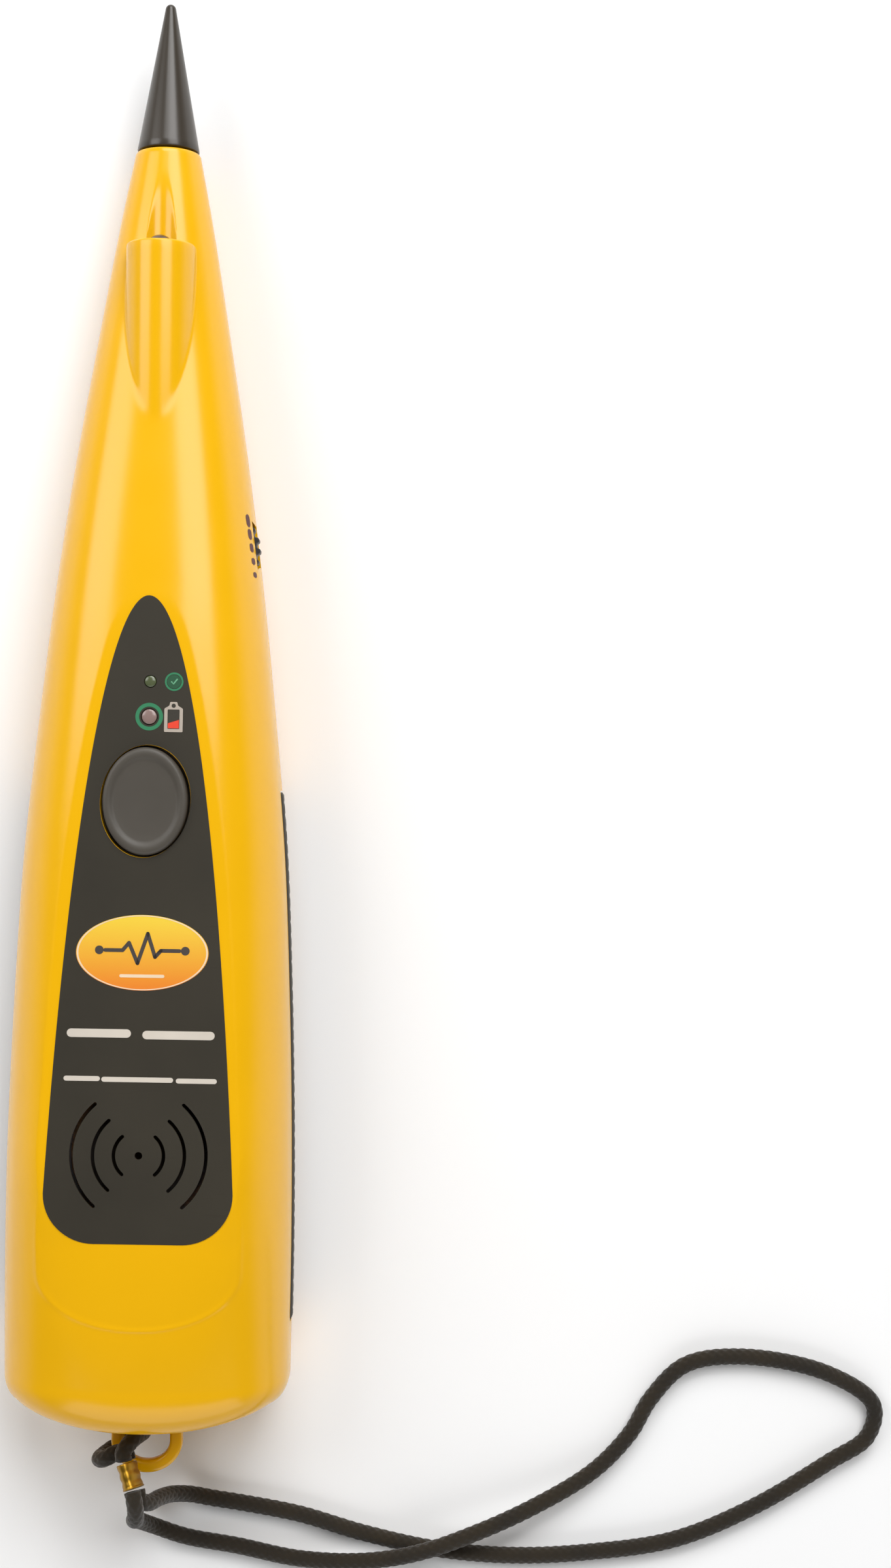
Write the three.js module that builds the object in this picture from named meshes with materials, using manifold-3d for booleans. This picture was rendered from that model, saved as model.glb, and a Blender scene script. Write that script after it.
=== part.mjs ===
// A handheld tone probe for tracing cables: a tapering two-part case with a conductive tip,
// a torch pod near the nose, a push button, status lights, a speaker and a 9 V battery bay,
// and a wrist cord crimped to a ring at the base.
// Millimetres. +Y runs from the base to the tip, +Z out of the button face, and the probe
// lies on its back on z = 0.
import * as THREE from 'three';
import { mergeVertices } from 'three/addons/utils/BufferGeometryUtils.js';
import Module from 'manifold-3d';

const wasm = await Module();
wasm.setup();

// ---- Driving dimensions ----
const GAP = 0.3; // clearance between neighbouring pieces
const WALL = 2.6; // case wall
const FACE_WALL = 2.2; // case wall under the flat face
const PARTING_Z = 11; // where the two shells meet, also the height of the tip's axis
const NOSE_Y = 104.9; // end of the case at the tip
const BASE_Y = -113.4; // where the base starts to round
const BASE_CORNER = 3.2; // how far the base's corners pull in at the sides
const BASE_DEPTH = 4.9; // length of the rounding along Y
const BASE_ROUND_Z = 6; // height of the rounding between face and base
const BASE_BOW = 3.7; // how far the base bulges at its middle
const CAVITY_NOSE_Y = 94.6;
const CAVITY_BASE_Y = -115;
const OUTER_SIDES = 28; // points around a section of the outside
const INNER_SIDES = 20; // points around a section of the cavity

// Outline of the case along Y, as [y, value] stations joined by a smooth curve.
const HALF_WIDTH = [
  [105, 5.75], [91, 8.45], [73, 11.5], [50, 15.2], [26, 18.45], [3, 21],
  [-20, 23.2], [-43, 24.4], [-67, 25.2], [-90, 25.5], [-116, 25.4],
];
const RIDGE = [
  [105, 16.75], [86, 19.6], [55, 23.9], [24, 27.6], [9, 28.8], [-10, 30.15],
  [-30, 31.45], [-60, 33], [-77, 33.6], [-102, 30.75], [-116, 28.8],
];
const BACK = [[105, 5.25], [85, 4.2], [60, 2.8], [30, 1.3], [0, 0.1], [-20, -0.7], [-116, -0.8]];
const SQUARENESS = [[105, 2], [60, 2.35], [24, 2.6], [-116, 2.6]];

// The flat face that carries the label: it starts at FACE_TOP and rises towards the base.
const FACE_TOP = { y: 24, z: 27.6 };
const FACE_SLOPE = 0.025;
const LABEL = { apexY: 24.2, endY: -87.5, cornerY: -79, flat: 7.5, thick: 0.36, recess: 0.7 };
const BADGE = { y: -37.5, rx: 11.4, ry: 6.5 };
const BUTTON = { y: -11.4, rx: 7.3, ry: 9.3, top: 29.8, flangeZ: 24.9 };
const GREEN_LIGHT = { x: 0.5, y: 9.3, r: 1 };
const RED_LIGHT = { x: 0.4, y: 3.2, r: 1.3 };
const SPEAKER = { y: -72.3, r: 14, slotRadii: [4.3, 7.9, 11.6], slotWidth: 0.7, slotAngle: 49 };

const POD = { faceY: 86.6, endY: 52, r: 6.1, z: 19.2, endZ: 17.6 };
const TORCH = { z: 20.6, r: 2.5, tipY: 88.2, backY: 79.5 };
const WHEEL = { x: 10, y: 33.4, z: 12.2, r: 8, thick: 3, knurls: 24 };
const VOLUME_MARKS = { x: 16.1, topY: 38.5, z: 17.2, lengths: [2.2, 1.8, 1.5, 1.2, 0.9], stepX: 0.33 };

const TIP = { baseR: 5.55, boreR: 2.3, boreEndY: 113, endR: 1.12, roundY: 129.5, endY: 132 };
const STUD_R = 1.95;
const TIP_NUT_R = 3.8; // across its corners

const BOARD = { z: 18, thick: 1.6 };
const BATTERY = { halfWidth: 13.25, bottomZ: 3, topZ: 20.5, baseY: -110.2, topY: -63.8 };
const DOOR = { halfWidth: 14.6, baseY: -112, topY: -60, topZ: 2.35, hingeY: -111, hingeZ: 1.6 };
const GRIP = { fromY: -104, toY: -9.6, lowZ: 4, highZ: 13.6, proud: 0.25 };
const RING = { z: 10.7, thick: 2.6, halfWidth: 6.4, band: 2.3, archY: -126.2, endY: -132, footY: -116.5 };

// Case screws as [x, y, height of the head's seat]; board screws as [x, y].
const CASE_SCREWS = [
  [-7.5, 62, 6.2], [7.5, 62, 6.2], [-17.5, -50, 4], [17.5, -50, 4], [-18.5, -104, 4], [18.5, -104, 4],
];
const CASE_SCREW = { headR: 2.25, headH: 1.5, shaftR: 1.2, length: 13, bossR: 3.4, boreR: 2.6 };
const BOARD_SCREWS = [[-12.5, -38], [12.5, -38], [-5.5, 44]];
const BOARD_SCREW = { headR: 1.8, headH: 1.3, shaftR: 0.8, topZ: 22.2, postR: 2.2 };
const PILOT_CLEAR = 0.3;

const CORD_R = 1.5;
// The crimped ferrule, leaning from above the ring's band towards the floor.
const FERRULE = { rx: 1.75, rz: 3.5, top: [-2.9, -129, 17.4], end: [-1.4, -133.1, 18.6] };
// The wrist cord's route, from the ferrule round the large loop and back to the ferrule.
const WRIST_ROUTE = [
  [-1.07, -133.99, 17.05], [-0.5, -135.5, 17.2], [0.8, -136.6, 15.2], [2.2, -137, 11], [4, -137.7, 6.6],
  [7, -138.8, 3], [11, -139.9, 1.6], [17, -140.8, 1.5], [27, -142.6, 1.5], [38.8, -145.9, 1.5],
  [52, -148.6, 1.5], [66, -149.6, 1.5], [80, -148.8, 1.5], [96, -146.2, 1.5], [110.5, -140, 1.5],
  [124.5, -131.4, 1.5], [131.4, -126.6, 1.5], [132.4, -120.8, 1.5], [124, -115.2, 1.5], [108, -112.3, 1.5],
  [97.6, -114, 1.5], [91.4, -120.2, 1.5], [87.6, -126.8, 1.5], [81, -133.6, 2], [70, -140, 3.4],
  [58.4, -145, 4.7], [48.7, -148.4, 4.8], [38.9, -150.4, 3.6], [27, -150.7, 1.8], [15.5, -148.6, 1.5],
  [6, -147, 1.6], [0.6, -144.8, 3], [-1.8, -142.3, 7.6], [-1.9, -140.3, 13.4], [-1, -138.1, 18.7],
  [-0.9, -135.4, 20.6], [-1.39, -133.12, 20.42],
];
// The short loop, from the ferrule down through the ring, under its band and back up outside it.
const RING_ROUTE = [
  [-3.23, -128.11, 18.95], [-3.4, -126.8, 18.3], [-2.2, -125.2, 16.8], [-1.2, -124.9, 13.6],
  [-1, -125.4, 10.3], [-2.2, -126.6, 7.7], [-4.6, -128, 6.8], [-6.9, -129.2, 7.9], [-8.3, -129.8, 10.6],
  [-8.2, -129.5, 13.4], [-6.9, -128.8, 15.1], [-5.1, -127.8, 15.3], [-3.45, -127.8, 15.2],
  [-2.91, -128.98, 15.58],
];

// ---- Geometry helpers ----

// The smooth curve through [y, value] stations that run down in y.
function valueAt(stations, y) {
  const last = stations.length - 2;
  let i = 0;
  while (i < last && y < stations[i + 1][0]) i += 1;
  const slope = (a, b) => (stations[b][1] - stations[a][1]) / (stations[b][0] - stations[a][0]);
  const startSlope = slope(Math.max(i - 1, 0), i + 1);
  const endSlope = slope(i, Math.min(i + 2, stations.length - 1));
  const [y0, v0] = stations[i];
  const [y1, v1] = stations[i + 1];
  const span = y1 - y0;
  const t = THREE.MathUtils.clamp((y - y0) / span, 0, 1);
  const t2 = t * t;
  const t3 = t2 * t;
  return (2 * t3 - 3 * t2 + 1) * v0 + (t3 - 2 * t2 + t) * span * startSlope
    + (3 * t2 - 2 * t3) * v1 + (t3 - t2) * span * endSlope;
}

// A manifold solid from a closed geometry, turned so that its faces point out.
function solid(geometry) {
  const plain = geometry.clone();
  for (const name of ['normal', 'uv']) plain.deleteAttribute(name);
  const merged = mergeVertices(plain, 1e-4);
  const position = merged.attributes.position.array;
  const index = Array.from(merged.index.array);
  const corner = (k) => new THREE.Vector3().fromArray(position, 3 * k);
  let triangles = [];
  let volume = 0;
  for (let i = 0; i < index.length; i += 3) {
    const [a, b, c] = index.slice(i, i + 3);
    if (a === b || b === c || c === a) continue;
    triangles.push(a, b, c);
    volume += corner(a).dot(corner(b).cross(corner(c)));
  }
  if (volume < 0) triangles = triangles.reverse();
  return new wasm.Manifold(new wasm.Mesh({
    numProp: 3,
    vertProperties: position,
    triVerts: new Uint32Array(triangles),
  }));
}

function geometryOf(shape) {
  const mesh = shape.getMesh();
  const geometry = new THREE.BufferGeometry();
  geometry.setAttribute('position', new THREE.BufferAttribute(mesh.vertProperties, 3));
  geometry.setIndex(new THREE.BufferAttribute(mesh.triVerts, 1));
  return geometry;
}

// A closed surface through rings of equally many points, with a fan over each end.
function loft(rings) {
  const sides = rings[0].length;
  const points = rings.flat();
  const index = [];
  for (let r = 0; r + 1 < rings.length; r += 1) {
    for (let s = 0; s < sides; s += 1) {
      const a = r * sides + s;
      const b = r * sides + ((s + 1) % sides);
      index.push(a, a + sides, b, b, a + sides, b + sides);
    }
  }
  const first = points.length;
  for (const ring of [rings[0], rings[rings.length - 1]]) {
    const centre = ring.reduce((sum, p) => sum.add(p), new THREE.Vector3()).divideScalar(sides);
    points.push(centre);
  }
  const lastRing = (rings.length - 1) * sides;
  for (let s = 0; s < sides; s += 1) {
    const next = (s + 1) % sides;
    index.push(first, s, next);
    index.push(first + 1, lastRing + next, lastRing + s);
  }
  const geometry = new THREE.BufferGeometry().setFromPoints(points);
  geometry.setIndex(index);
  return geometry;
}

function box(x0, x1, y0, y1, z0, z1) {
  const geometry = new THREE.BoxGeometry(x1 - x0, y1 - y0, z1 - z0);
  return solid(geometry.translate((x0 + x1) / 2, (y0 + y1) / 2, (z0 + z1) / 2));
}

// A lathe of [radius, height] points about an upright axis.
function upright(profile, segments = 16) {
  const points = profile.map(([r, z]) => new THREE.Vector2(r, z));
  return new THREE.LatheGeometry(points, segments).rotateX(Math.PI / 2);
}

function rod(x, y, r, z0, z1, segments = 20) {
  const geometry = new THREE.CylinderGeometry(r, r, z1 - z0, segments).rotateX(Math.PI / 2);
  return solid(geometry.translate(x, y, (z0 + z1) / 2));
}

// A cylinder along Y whose axis may drop or rise between its ends.
function rodAlongY(r, y0, z0, y1, z1, x = 0) {
  const length = Math.hypot(y1 - y0, z1 - z0);
  const geometry = new THREE.CylinderGeometry(r, r, length, 28).rotateX(Math.atan2(z1 - z0, y1 - y0));
  return solid(geometry.translate(x, (y0 + y1) / 2, (z0 + z1) / 2));
}

function ellipseShape(rx, ry, x = 0, y = 0) {
  return new THREE.Shape().absellipse(x, y, rx, ry, 0, 2 * Math.PI);
}

function plate(shape, z0, z1, curveSegments = 6) {
  const geometry = new THREE.ExtrudeGeometry(shape, { depth: z1 - z0, bevelEnabled: false, curveSegments });
  return solid(geometry.translate(0, 0, z0));
}

function tube(route, r, steps, sides = 8) {
  const path = new THREE.CatmullRomCurve3(route.map((p) => new THREE.Vector3(...p)));
  const section = new THREE.Shape();
  for (let s = 0; s < sides; s += 1) {
    const angle = (2 * Math.PI * s) / sides;
    const point = [r * Math.cos(angle), r * Math.sin(angle)];
    if (s === 0) section.moveTo(...point);
    else section.lineTo(...point);
  }
  section.closePath();
  return new THREE.ExtrudeGeometry(section, { steps, extrudePath: path, bevelEnabled: false });
}

function union(pieces) {
  return pieces.reduce((whole, piece) => whole.add(piece));
}

// ---- The face ----
const faceZ = (y) => FACE_TOP.z + FACE_SLOPE * (FACE_TOP.y - y);
const face = new THREE.Group();
face.position.set(0, 0, faceZ(0));
face.rotation.x = -Math.atan(FACE_SLOPE);
face.updateMatrix();

// A solid drawn on the face, with z = 0 on its surface, moved to its place in the case.
function onFace(shape) {
  return solid(geometryOf(shape).applyMatrix4(face.matrix));
}

function aboveFace(depth) {
  return onFace(box(-40, 40, -160, 160, -depth, 60));
}

// ---- The case form ----
function section(y, inset, options = {}) {
  const { narrow = 0, low = 0, lift = 0, back = 0, bow = 0, scale = 1, sides = OUTER_SIDES } = options;
  const halfWidth = (valueAt(HALF_WIDTH, y) - inset - narrow) * scale;
  const top = (valueAt(RIDGE, y) - inset - low - PARTING_Z) * scale;
  const bottom = (PARTING_Z - valueAt(BACK, y) - inset - lift) * scale;
  const power = 2 / valueAt(SQUARENESS, y);
  const plainHalfWidth = valueAt(HALF_WIDTH, BASE_Y) - BASE_CORNER;
  const ring = [];
  for (let s = 0; s < sides; s += 1) {
    const angle = (2 * Math.PI * s) / sides;
    const across = Math.cos(angle);
    const up = Math.sin(angle);
    const x = halfWidth * Math.sign(across) * Math.abs(across) ** power;
    const z = (up > 0 ? top : bottom) * Math.sign(up) * Math.abs(up) ** power;
    const bulge = bow * Math.max(0, 1 - (x / plainHalfWidth) ** 2);
    ring.push(new THREE.Vector3(x, y - back - bulge, PARTING_Z + z));
  }
  return ring;
}

// A plain stretch of the case form, inset from the outside.
function straightForm(inset, fromY, toY, count = 9, sides = INNER_SIDES) {
  const rings = [];
  for (let i = 0; i <= count; i += 1) rings.push(section(fromY + ((toY - fromY) * i) / count, inset, { sides }));
  return solid(loft(rings));
}

// The whole outside of the case, with its rounded and bulging base.
function outerForm() {
  const rings = [section(NOSE_Y, 0.4)];
  const count = 17;
  for (let i = 0; i <= count; i += 1) {
    rings.push(section(NOSE_Y - 0.4 + ((BASE_Y - NOSE_Y + 0.4) * i) / count, 0));
  }
  const roundSteps = 3;
  for (let k = 1; k <= roundSteps; k += 1) {
    const turn = (Math.PI / 2) * (k / roundSteps);
    const pull = 1 - Math.cos(turn);
    rings.push(section(BASE_Y, 0, {
      narrow: BASE_CORNER * pull,
      low: BASE_ROUND_Z * pull,
      lift: BASE_CORNER * pull,
      back: BASE_DEPTH * Math.sin(turn),
      bow: BASE_BOW * Math.sin(turn),
    }));
  }
  for (const scale of [0.7, 0.35]) {
    rings.push(section(BASE_Y, 0, {
      narrow: BASE_CORNER, low: BASE_ROUND_Z, lift: BASE_CORNER, back: BASE_DEPTH, bow: BASE_BOW, scale,
    }));
  }
  return solid(loft(rings));
}

function labelShape(grow) {
  const side = (y) => {
    const d = LABEL.apexY - y;
    return Math.sqrt(3.45 * d - 0.0085 * d * d);
  };
  const shape = new THREE.Shape();
  const steps = 9;
  const right = [];
  for (let i = 1; i <= steps; i += 1) {
    const y = LABEL.apexY - (LABEL.apexY - LABEL.cornerY) * (i / steps) ** 2;
    right.push([side(y) + grow, y]);
  }
  const cornerX = right[steps - 1][0];
  const endY = LABEL.endY - grow;
  shape.moveTo(0, LABEL.apexY + grow);
  for (const [x, y] of right) shape.lineTo(x, y);
  shape.absellipse(LABEL.flat, LABEL.cornerY, cornerX - LABEL.flat, LABEL.cornerY - endY, 0, -Math.PI / 2, true);
  shape.absellipse(-LABEL.flat, LABEL.cornerY, cornerX - LABEL.flat, LABEL.cornerY - endY,
    -Math.PI / 2, -Math.PI, true);
  for (const [x, y] of right.slice(0, -1).reverse()) shape.lineTo(-x, y);
  return shape;
}

function speakerSlots() {
  const turn = THREE.MathUtils.degToRad(SPEAKER.slotAngle);
  const half = SPEAKER.slotWidth / 2;
  const slots = [rod(0, SPEAKER.y, SPEAKER.slotWidth, 20, 40, 8)];
  for (const r of SPEAKER.slotRadii) {
    for (const middle of [0, Math.PI]) {
      const slot = new THREE.Shape();
      slot.absarc(0, SPEAKER.y, r + half, middle - turn, middle + turn, false);
      slot.absarc(0, SPEAKER.y, r - half, middle + turn, middle - turn, true);
      slots.push(plate(slot, 20, 40, 5));
    }
  }
  return union(slots);
}

function ringShape(grow) {
  const outer = RING.halfWidth + grow;
  const inner = RING.halfWidth - RING.band - grow;
  const depth = RING.archY - RING.endY;
  const foot = 8 + grow;
  const shape = new THREE.Shape();
  shape.moveTo(-foot, RING.footY + grow);
  shape.lineTo(-foot, RING.footY - 2.4 - grow);
  shape.lineTo(-outer, RING.footY - 2.4 - grow);
  shape.absellipse(0, RING.archY, outer, depth + grow, Math.PI, 2 * Math.PI, false);
  shape.lineTo(outer, RING.footY - 2.4 - grow);
  shape.lineTo(foot, RING.footY - 2.4 - grow);
  shape.lineTo(foot, RING.footY + grow);
  const hole = new THREE.Path();
  hole.moveTo(-inner, RING.footY - 2.4 - grow);
  hole.lineTo(-inner, RING.archY);
  hole.absellipse(0, RING.archY, inner, depth - RING.band - grow, Math.PI, 2 * Math.PI, false);
  hole.lineTo(inner, RING.footY - 2.4 - grow);
  shape.holes.push(hole);
  return shape;
}

// ---- Features that both shells share ----
const outside = outerForm()
  .add(rodAlongY(POD.r, POD.endY, POD.endZ, POD.faceY, POD.z))
  .subtract(rodAlongY(3.2, POD.faceY, 20.9, 106, 20.9))
  .subtract(aboveFace(0));
const bossLimit = straightForm(1.2, NOSE_Y - 4, BASE_Y).subtract(aboveFace(1.6));
const cavity = straightForm(WALL, CAVITY_NOSE_Y, CAVITY_BASE_Y)
  .subtract(aboveFace(FACE_WALL))
  .add(rodAlongY(3.7, 60, TORCH.z - 1, POD.faceY - 2.2, TORCH.z));

function gripBand(grow) {
  return [-1, 1].map((side) => {
    const xs = side < 0 ? [-40, 0] : [0, 40];
    return box(xs[0], xs[1], GRIP.fromY - grow, GRIP.toY + grow, GRIP.lowZ - grow, GRIP.highZ + grow);
  });
}

const gripRecess = union(gripBand(GAP)).subtract(straightForm(1.3, 0, -112, 8, OUTER_SIDES));
const ringSeat = plate(ringShape(GAP), RING.z - GAP, RING.z + RING.thick + GAP);
const studBore = rodAlongY(STUD_R + GAP, CAVITY_NOSE_Y - 3, PARTING_Z, NOSE_Y + 2, PARTING_Z);
const sharedCuts = union([gripRecess, ringSeat, studBore]);

// ---- Case ----
function frontShell() {
  const bosses = CASE_SCREWS.map(([x, y]) => rod(x, y, CASE_SCREW.bossR, PARTING_Z, 31, 12));
  const posts = BOARD_SCREWS.map(([x, y]) => (
    rod(x, y, BOARD_SCREW.postR, BOARD.z + BOARD.thick + GAP, 31, 8)));
  const bossBores = CASE_SCREWS.map(([x, y, seat]) => (
    rod(x, y, CASE_SCREW.shaftR + PILOT_CLEAR, 0, seat + CASE_SCREW.length + 1, 8)));
  const postBores = BOARD_SCREWS.map(([x, y]) => (
    rod(x, y, BOARD_SCREW.shaftR + PILOT_CLEAR, 0, BOARD_SCREW.topZ + 0.4, 8)));
  const buttonHole = plate(ellipseShape(BUTTON.rx + 0.35, BUTTON.ry + 0.35, 0, BUTTON.y), 20, 40, 10);
  const lights = [GREEN_LIGHT, RED_LIGHT].map(({ x, y, r }) => rod(x, y, r + GAP, 20, 40, 10));
  const marks = VOLUME_MARKS.lengths.map((length, i) => {
    const y = VOLUME_MARKS.topY - 2.5 * i;
    const x = VOLUME_MARKS.x + VOLUME_MARKS.stepX * i;
    return box(x, x + 4, y - length / 2, y + length / 2, VOLUME_MARKS.z - 1, VOLUME_MARKS.z + 1);
  });
  const markLimit = straightForm(0.5, 60, 10, 4, OUTER_SIDES);
  return outside
    .intersect(box(-60, 60, -140, 120, PARTING_Z + 0.15, 60))
    .subtract(cavity)
    .add(union([...bosses, ...posts]).intersect(bossLimit))
    .intersect(box(-60, 60, -140, 120, PARTING_Z + 0.15, 60))
    .subtract(union([...bossBores, ...postBores, ...lights, buttonHole, speakerSlots(), sharedCuts]))
    .subtract(onFace(plate(labelShape(GAP), -LABEL.recess, 5)))
    .subtract(rodAlongY(TORCH.r + GAP, TORCH.backY, TORCH.z, POD.faceY + 3, TORCH.z))
    .subtract(rod(WHEEL.x, WHEEL.y, WHEEL.r + 0.4, PARTING_Z, WHEEL.z + WHEEL.thick + 0.4, 28))
    .subtract(union(marks).subtract(markLimit));
}

function backShell() {
  const bosses = CASE_SCREWS.map(([x, y]) => rod(x, y, CASE_SCREW.bossR, 0, PARTING_Z, 12));
  const bores = CASE_SCREWS.map(([x, y, seat]) => (
    rod(x, y, CASE_SCREW.boreR, -5, seat + GAP, 12)
      .add(rod(x, y, CASE_SCREW.shaftR + PILOT_CLEAR, 0, 20, 8))));
  const rib = box(-15, 15, -58.8, -57.6, 2.4, PARTING_Z - 2);
  const doorway = union([
    box(-15, 15, DOOR.baseY - 1, DOOR.topY + 0.4, -2, DOOR.topZ + 0.4),
    box(-13.55, 13.55, DOOR.baseY - 1, DOOR.topY - 1, 0, 6),
    box(-15, 15, DOOR.baseY - 1, DOOR.hingeY + 2, 0, 4),
    box(-5.4, 5.4, DOOR.topY - 1, DOOR.topY + 2.1, -2, 2.4),
    box(-16.4, 16.4, DOOR.hingeY - 1.05, DOOR.hingeY + 1.05, 0.5, DOOR.hingeZ + 1.05),
  ]);
  return outside
    .intersect(box(-60, 60, -140, 120, 0, PARTING_Z - 0.15))
    .subtract(cavity)
    .add(union([...bosses, rib]).intersect(bossLimit))
    .intersect(box(-60, 60, -140, 120, 0, PARTING_Z - 0.15))
    .subtract(union([...bores, doorway, sharedCuts]));
}

function batteryDoor() {
  const { halfWidth, baseY, topY, topZ, hingeY, hingeZ } = DOOR;
  const panel = straightForm(GAP, -50, CAVITY_BASE_Y, 4, OUTER_SIDES)
    .intersect(box(-halfWidth, halfWidth, baseY, topY, GAP, topZ));
  const grooves = [0, 1, 2].map((i) => box(-6, 6, topY - 4.6 - 2.2 * i, topY - 3.6 - 2.2 * i, -1, 0.9));
  const pins = new THREE.CylinderGeometry(0.7, 0.7, 32, 12).rotateZ(Math.PI / 2);
  return panel
    .subtract(union(grooves))
    .add(box(-5, 5, topY - 0.5, topY + 1.7, 0.6, 2))
    .add(solid(pins.translate(0, hingeY, hingeZ)));
}

function grip(side) {
  const band = gripBand(0)[side < 0 ? 0 : 1];
  const body = straightForm(-GRIP.proud, 0, -112, 8, OUTER_SIDES)
    .subtract(straightForm(1, 4, -114, 8, OUTER_SIDES));
  return band.intersect(body);
}

// ---- Tip ----
function probeTip() {
  const profile = [
    [0, TIP.boreEndY], [TIP.boreR, TIP.boreEndY], [TIP.boreR, NOSE_Y + GAP],
    [TIP.baseR - 0.4, NOSE_Y + GAP], [TIP.baseR, NOSE_Y + 0.8], [TIP.endR, TIP.roundY],
    [TIP.endR * 0.8, TIP.roundY + 1.3], [TIP.endR * 0.45, TIP.endY - 0.35], [0, TIP.endY],
  ];
  return new THREE.LatheGeometry(profile.map(([r, y]) => new THREE.Vector2(r, y)), 32);
}

function tipNut() {
  const hexagon = new THREE.Shape();
  for (let k = 0; k < 6; k += 1) {
    const angle = (Math.PI / 3) * k;
    const corner = [TIP_NUT_R * Math.cos(angle), TIP_NUT_R * Math.sin(angle)];
    if (k === 0) hexagon.moveTo(...corner);
    else hexagon.lineTo(...corner);
  }
  hexagon.closePath();
  hexagon.holes.push(ellipseShape(STUD_R + GAP, STUD_R + GAP));
  return plate(hexagon, 0, 3.2, 5);
}

// ---- Face pieces, drawn with z = 0 on the face ----
function faceLabel() {
  const shape = labelShape(0);
  shape.holes.push(ellipseShape(BADGE.rx + 0.5, BADGE.ry + 0.5, 0, BADGE.y));
  shape.holes.push(ellipseShape(BUTTON.rx + 0.35, BUTTON.ry + 0.35, 0, BUTTON.y));
  for (const { x, y, r } of [GREEN_LIGHT, RED_LIGHT]) shape.holes.push(ellipseShape(r + GAP, r + GAP, x, y));
  const slots = solid(geometryOf(speakerSlots()).applyMatrix4(face.matrix.clone().invert()));
  return plate(shape, -0.02 - LABEL.thick, -0.02).subtract(slots);
}

function pushButton() {
  const wide = 1.16; // flange size against the button's own
  const { flangeZ, top } = BUTTON;
  const profile = [
    [0, flangeZ], [wide, flangeZ], [wide, flangeZ + 0.85], [1, flangeZ + 0.85], [1, top - 0.6],
    [0.95, top - 0.1], [0.85, top], [0.76, top - 0.2], [0, top - 0.45],
  ];
  return upright(profile, 28).scale(BUTTON.rx, BUTTON.ry, 1);
}

function statusLight(light) {
  const top = faceZ(light.y);
  const base = BOARD.z + BOARD.thick + GAP;
  return upright([
    [0, base], [1.5, base], [1.5, base + 3.8], [light.r, base + 4], [light.r, top - 0.2],
    [light.r * 0.7, top + 0.1], [0, top + 0.25],
  ], 16);
}

// ---- Torch ----
function torchLight() {
  const { r, tipY, backY } = TORCH;
  const profile = [[0, backY], [2.8, backY], [2.8, backY + 1], [r, backY + 1]];
  for (let k = 0; k <= 4; k += 1) {
    const angle = (Math.PI / 8) * k;
    profile.push([r * Math.cos(angle), tipY - r + r * Math.sin(angle)]);
  }
  profile[profile.length - 1][0] = 0;
  return new THREE.LatheGeometry(profile.map(([x, y]) => new THREE.Vector2(x, y)), 20);
}

function torchCollar() {
  const profile = [[2.8, 0], [3.4, 0], [3.4, 3], [2.8, 3], [2.8, 0]];
  return new THREE.LatheGeometry(profile.map(([x, y]) => new THREE.Vector2(x, y)), 20);
}

// ---- Electronics ----
function mainBoard() {
  const outline = [[8, 50], [13.5, 20], [16, -5], [16, -44]];
  const shape = new THREE.Shape();
  shape.moveTo(...outline[0]);
  for (const [x, y] of outline.slice(1)) shape.lineTo(x, y);
  for (const [x, y] of [...outline].reverse()) shape.lineTo(-x, y);
  shape.closePath();
  const holeR = BOARD_SCREW.shaftR + PILOT_CLEAR;
  for (const [x, y] of BOARD_SCREWS) shape.holes.push(ellipseShape(holeR, holeR, x, y));
  return plate(shape, BOARD.z, BOARD.z + BOARD.thick, 6);
}

function tactSwitch() {
  return box(-3, 3, -3, 3, 0, 3.3).subtract(rod(0, 0, 2, 0.9, 5, 16));
}

function volumeWheel() {
  const shape = new THREE.Shape();
  for (let k = 0; k < WHEEL.knurls; k += 1) {
    for (const [part, r] of [[0.05, WHEEL.r], [0.5, WHEEL.r], [0.62, WHEEL.r - 0.6], [0.93, WHEEL.r - 0.6]]) {
      const angle = (2 * Math.PI * (k + part)) / WHEEL.knurls;
      const point = [r * Math.cos(angle), r * Math.sin(angle)];
      if (k === 0 && part === 0.05) shape.moveTo(...point);
      else shape.lineTo(...point);
    }
  }
  shape.closePath();
  shape.holes.push(ellipseShape(1.3, 1.3));
  return plate(shape, 0, WHEEL.thick, 5);
}

function volumePot() {
  return box(3.4, 12.4, WHEEL.y - 5, WHEEL.y + 5, 15.5, 17.7).subtract(rod(WHEEL.x, WHEEL.y, 1.3, 15, 17.2, 12));
}

function screw({ headR, headH, shaftR }, length) {
  return upright([[0, -headH], [headR, -headH], [headR, 0], [shaftR, 0], [shaftR, length - 0.6], [0, length]], 10);
}

// ---- Speaker ----
const SPEAKER_FRAME = [
  [6.2, 21.7], [8, 21.7], [12, 24.7], [14, 24.7], [14, 26.3], [12.4, 26.3], [11.2, 25.5], [7.2, 22.5],
  [6.2, 22.5], [6.2, 21.7],
];
const SPEAKER_CONE = [
  [0, 23.6], [6, 23.6], [10.8, 26], [10.8, 26.3], [5.8, 24.1], [4, 24.9], [0, 25.5],
];
const SPEAKER_GASKET = [[12.2, 26.6], [14, 26.6], [14, 27.1], [12.2, 27.1], [12.2, 26.6]];

// ---- Battery ----
function battery() {
  const { halfWidth, bottomZ, topZ, baseY, topY } = BATTERY;
  const middleZ = (bottomZ + topZ) / 2;
  return union([
    box(-halfWidth, halfWidth, baseY, topY, bottomZ, topZ),
    rodAlongY(2.9, topY - 1, middleZ, topY + 2.2, middleZ, -6.35),
    rodAlongY(3.3, topY - 1, middleZ, topY + 2.2, middleZ, 6.35),
  ]);
}

// ---- Ferrule ----

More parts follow.
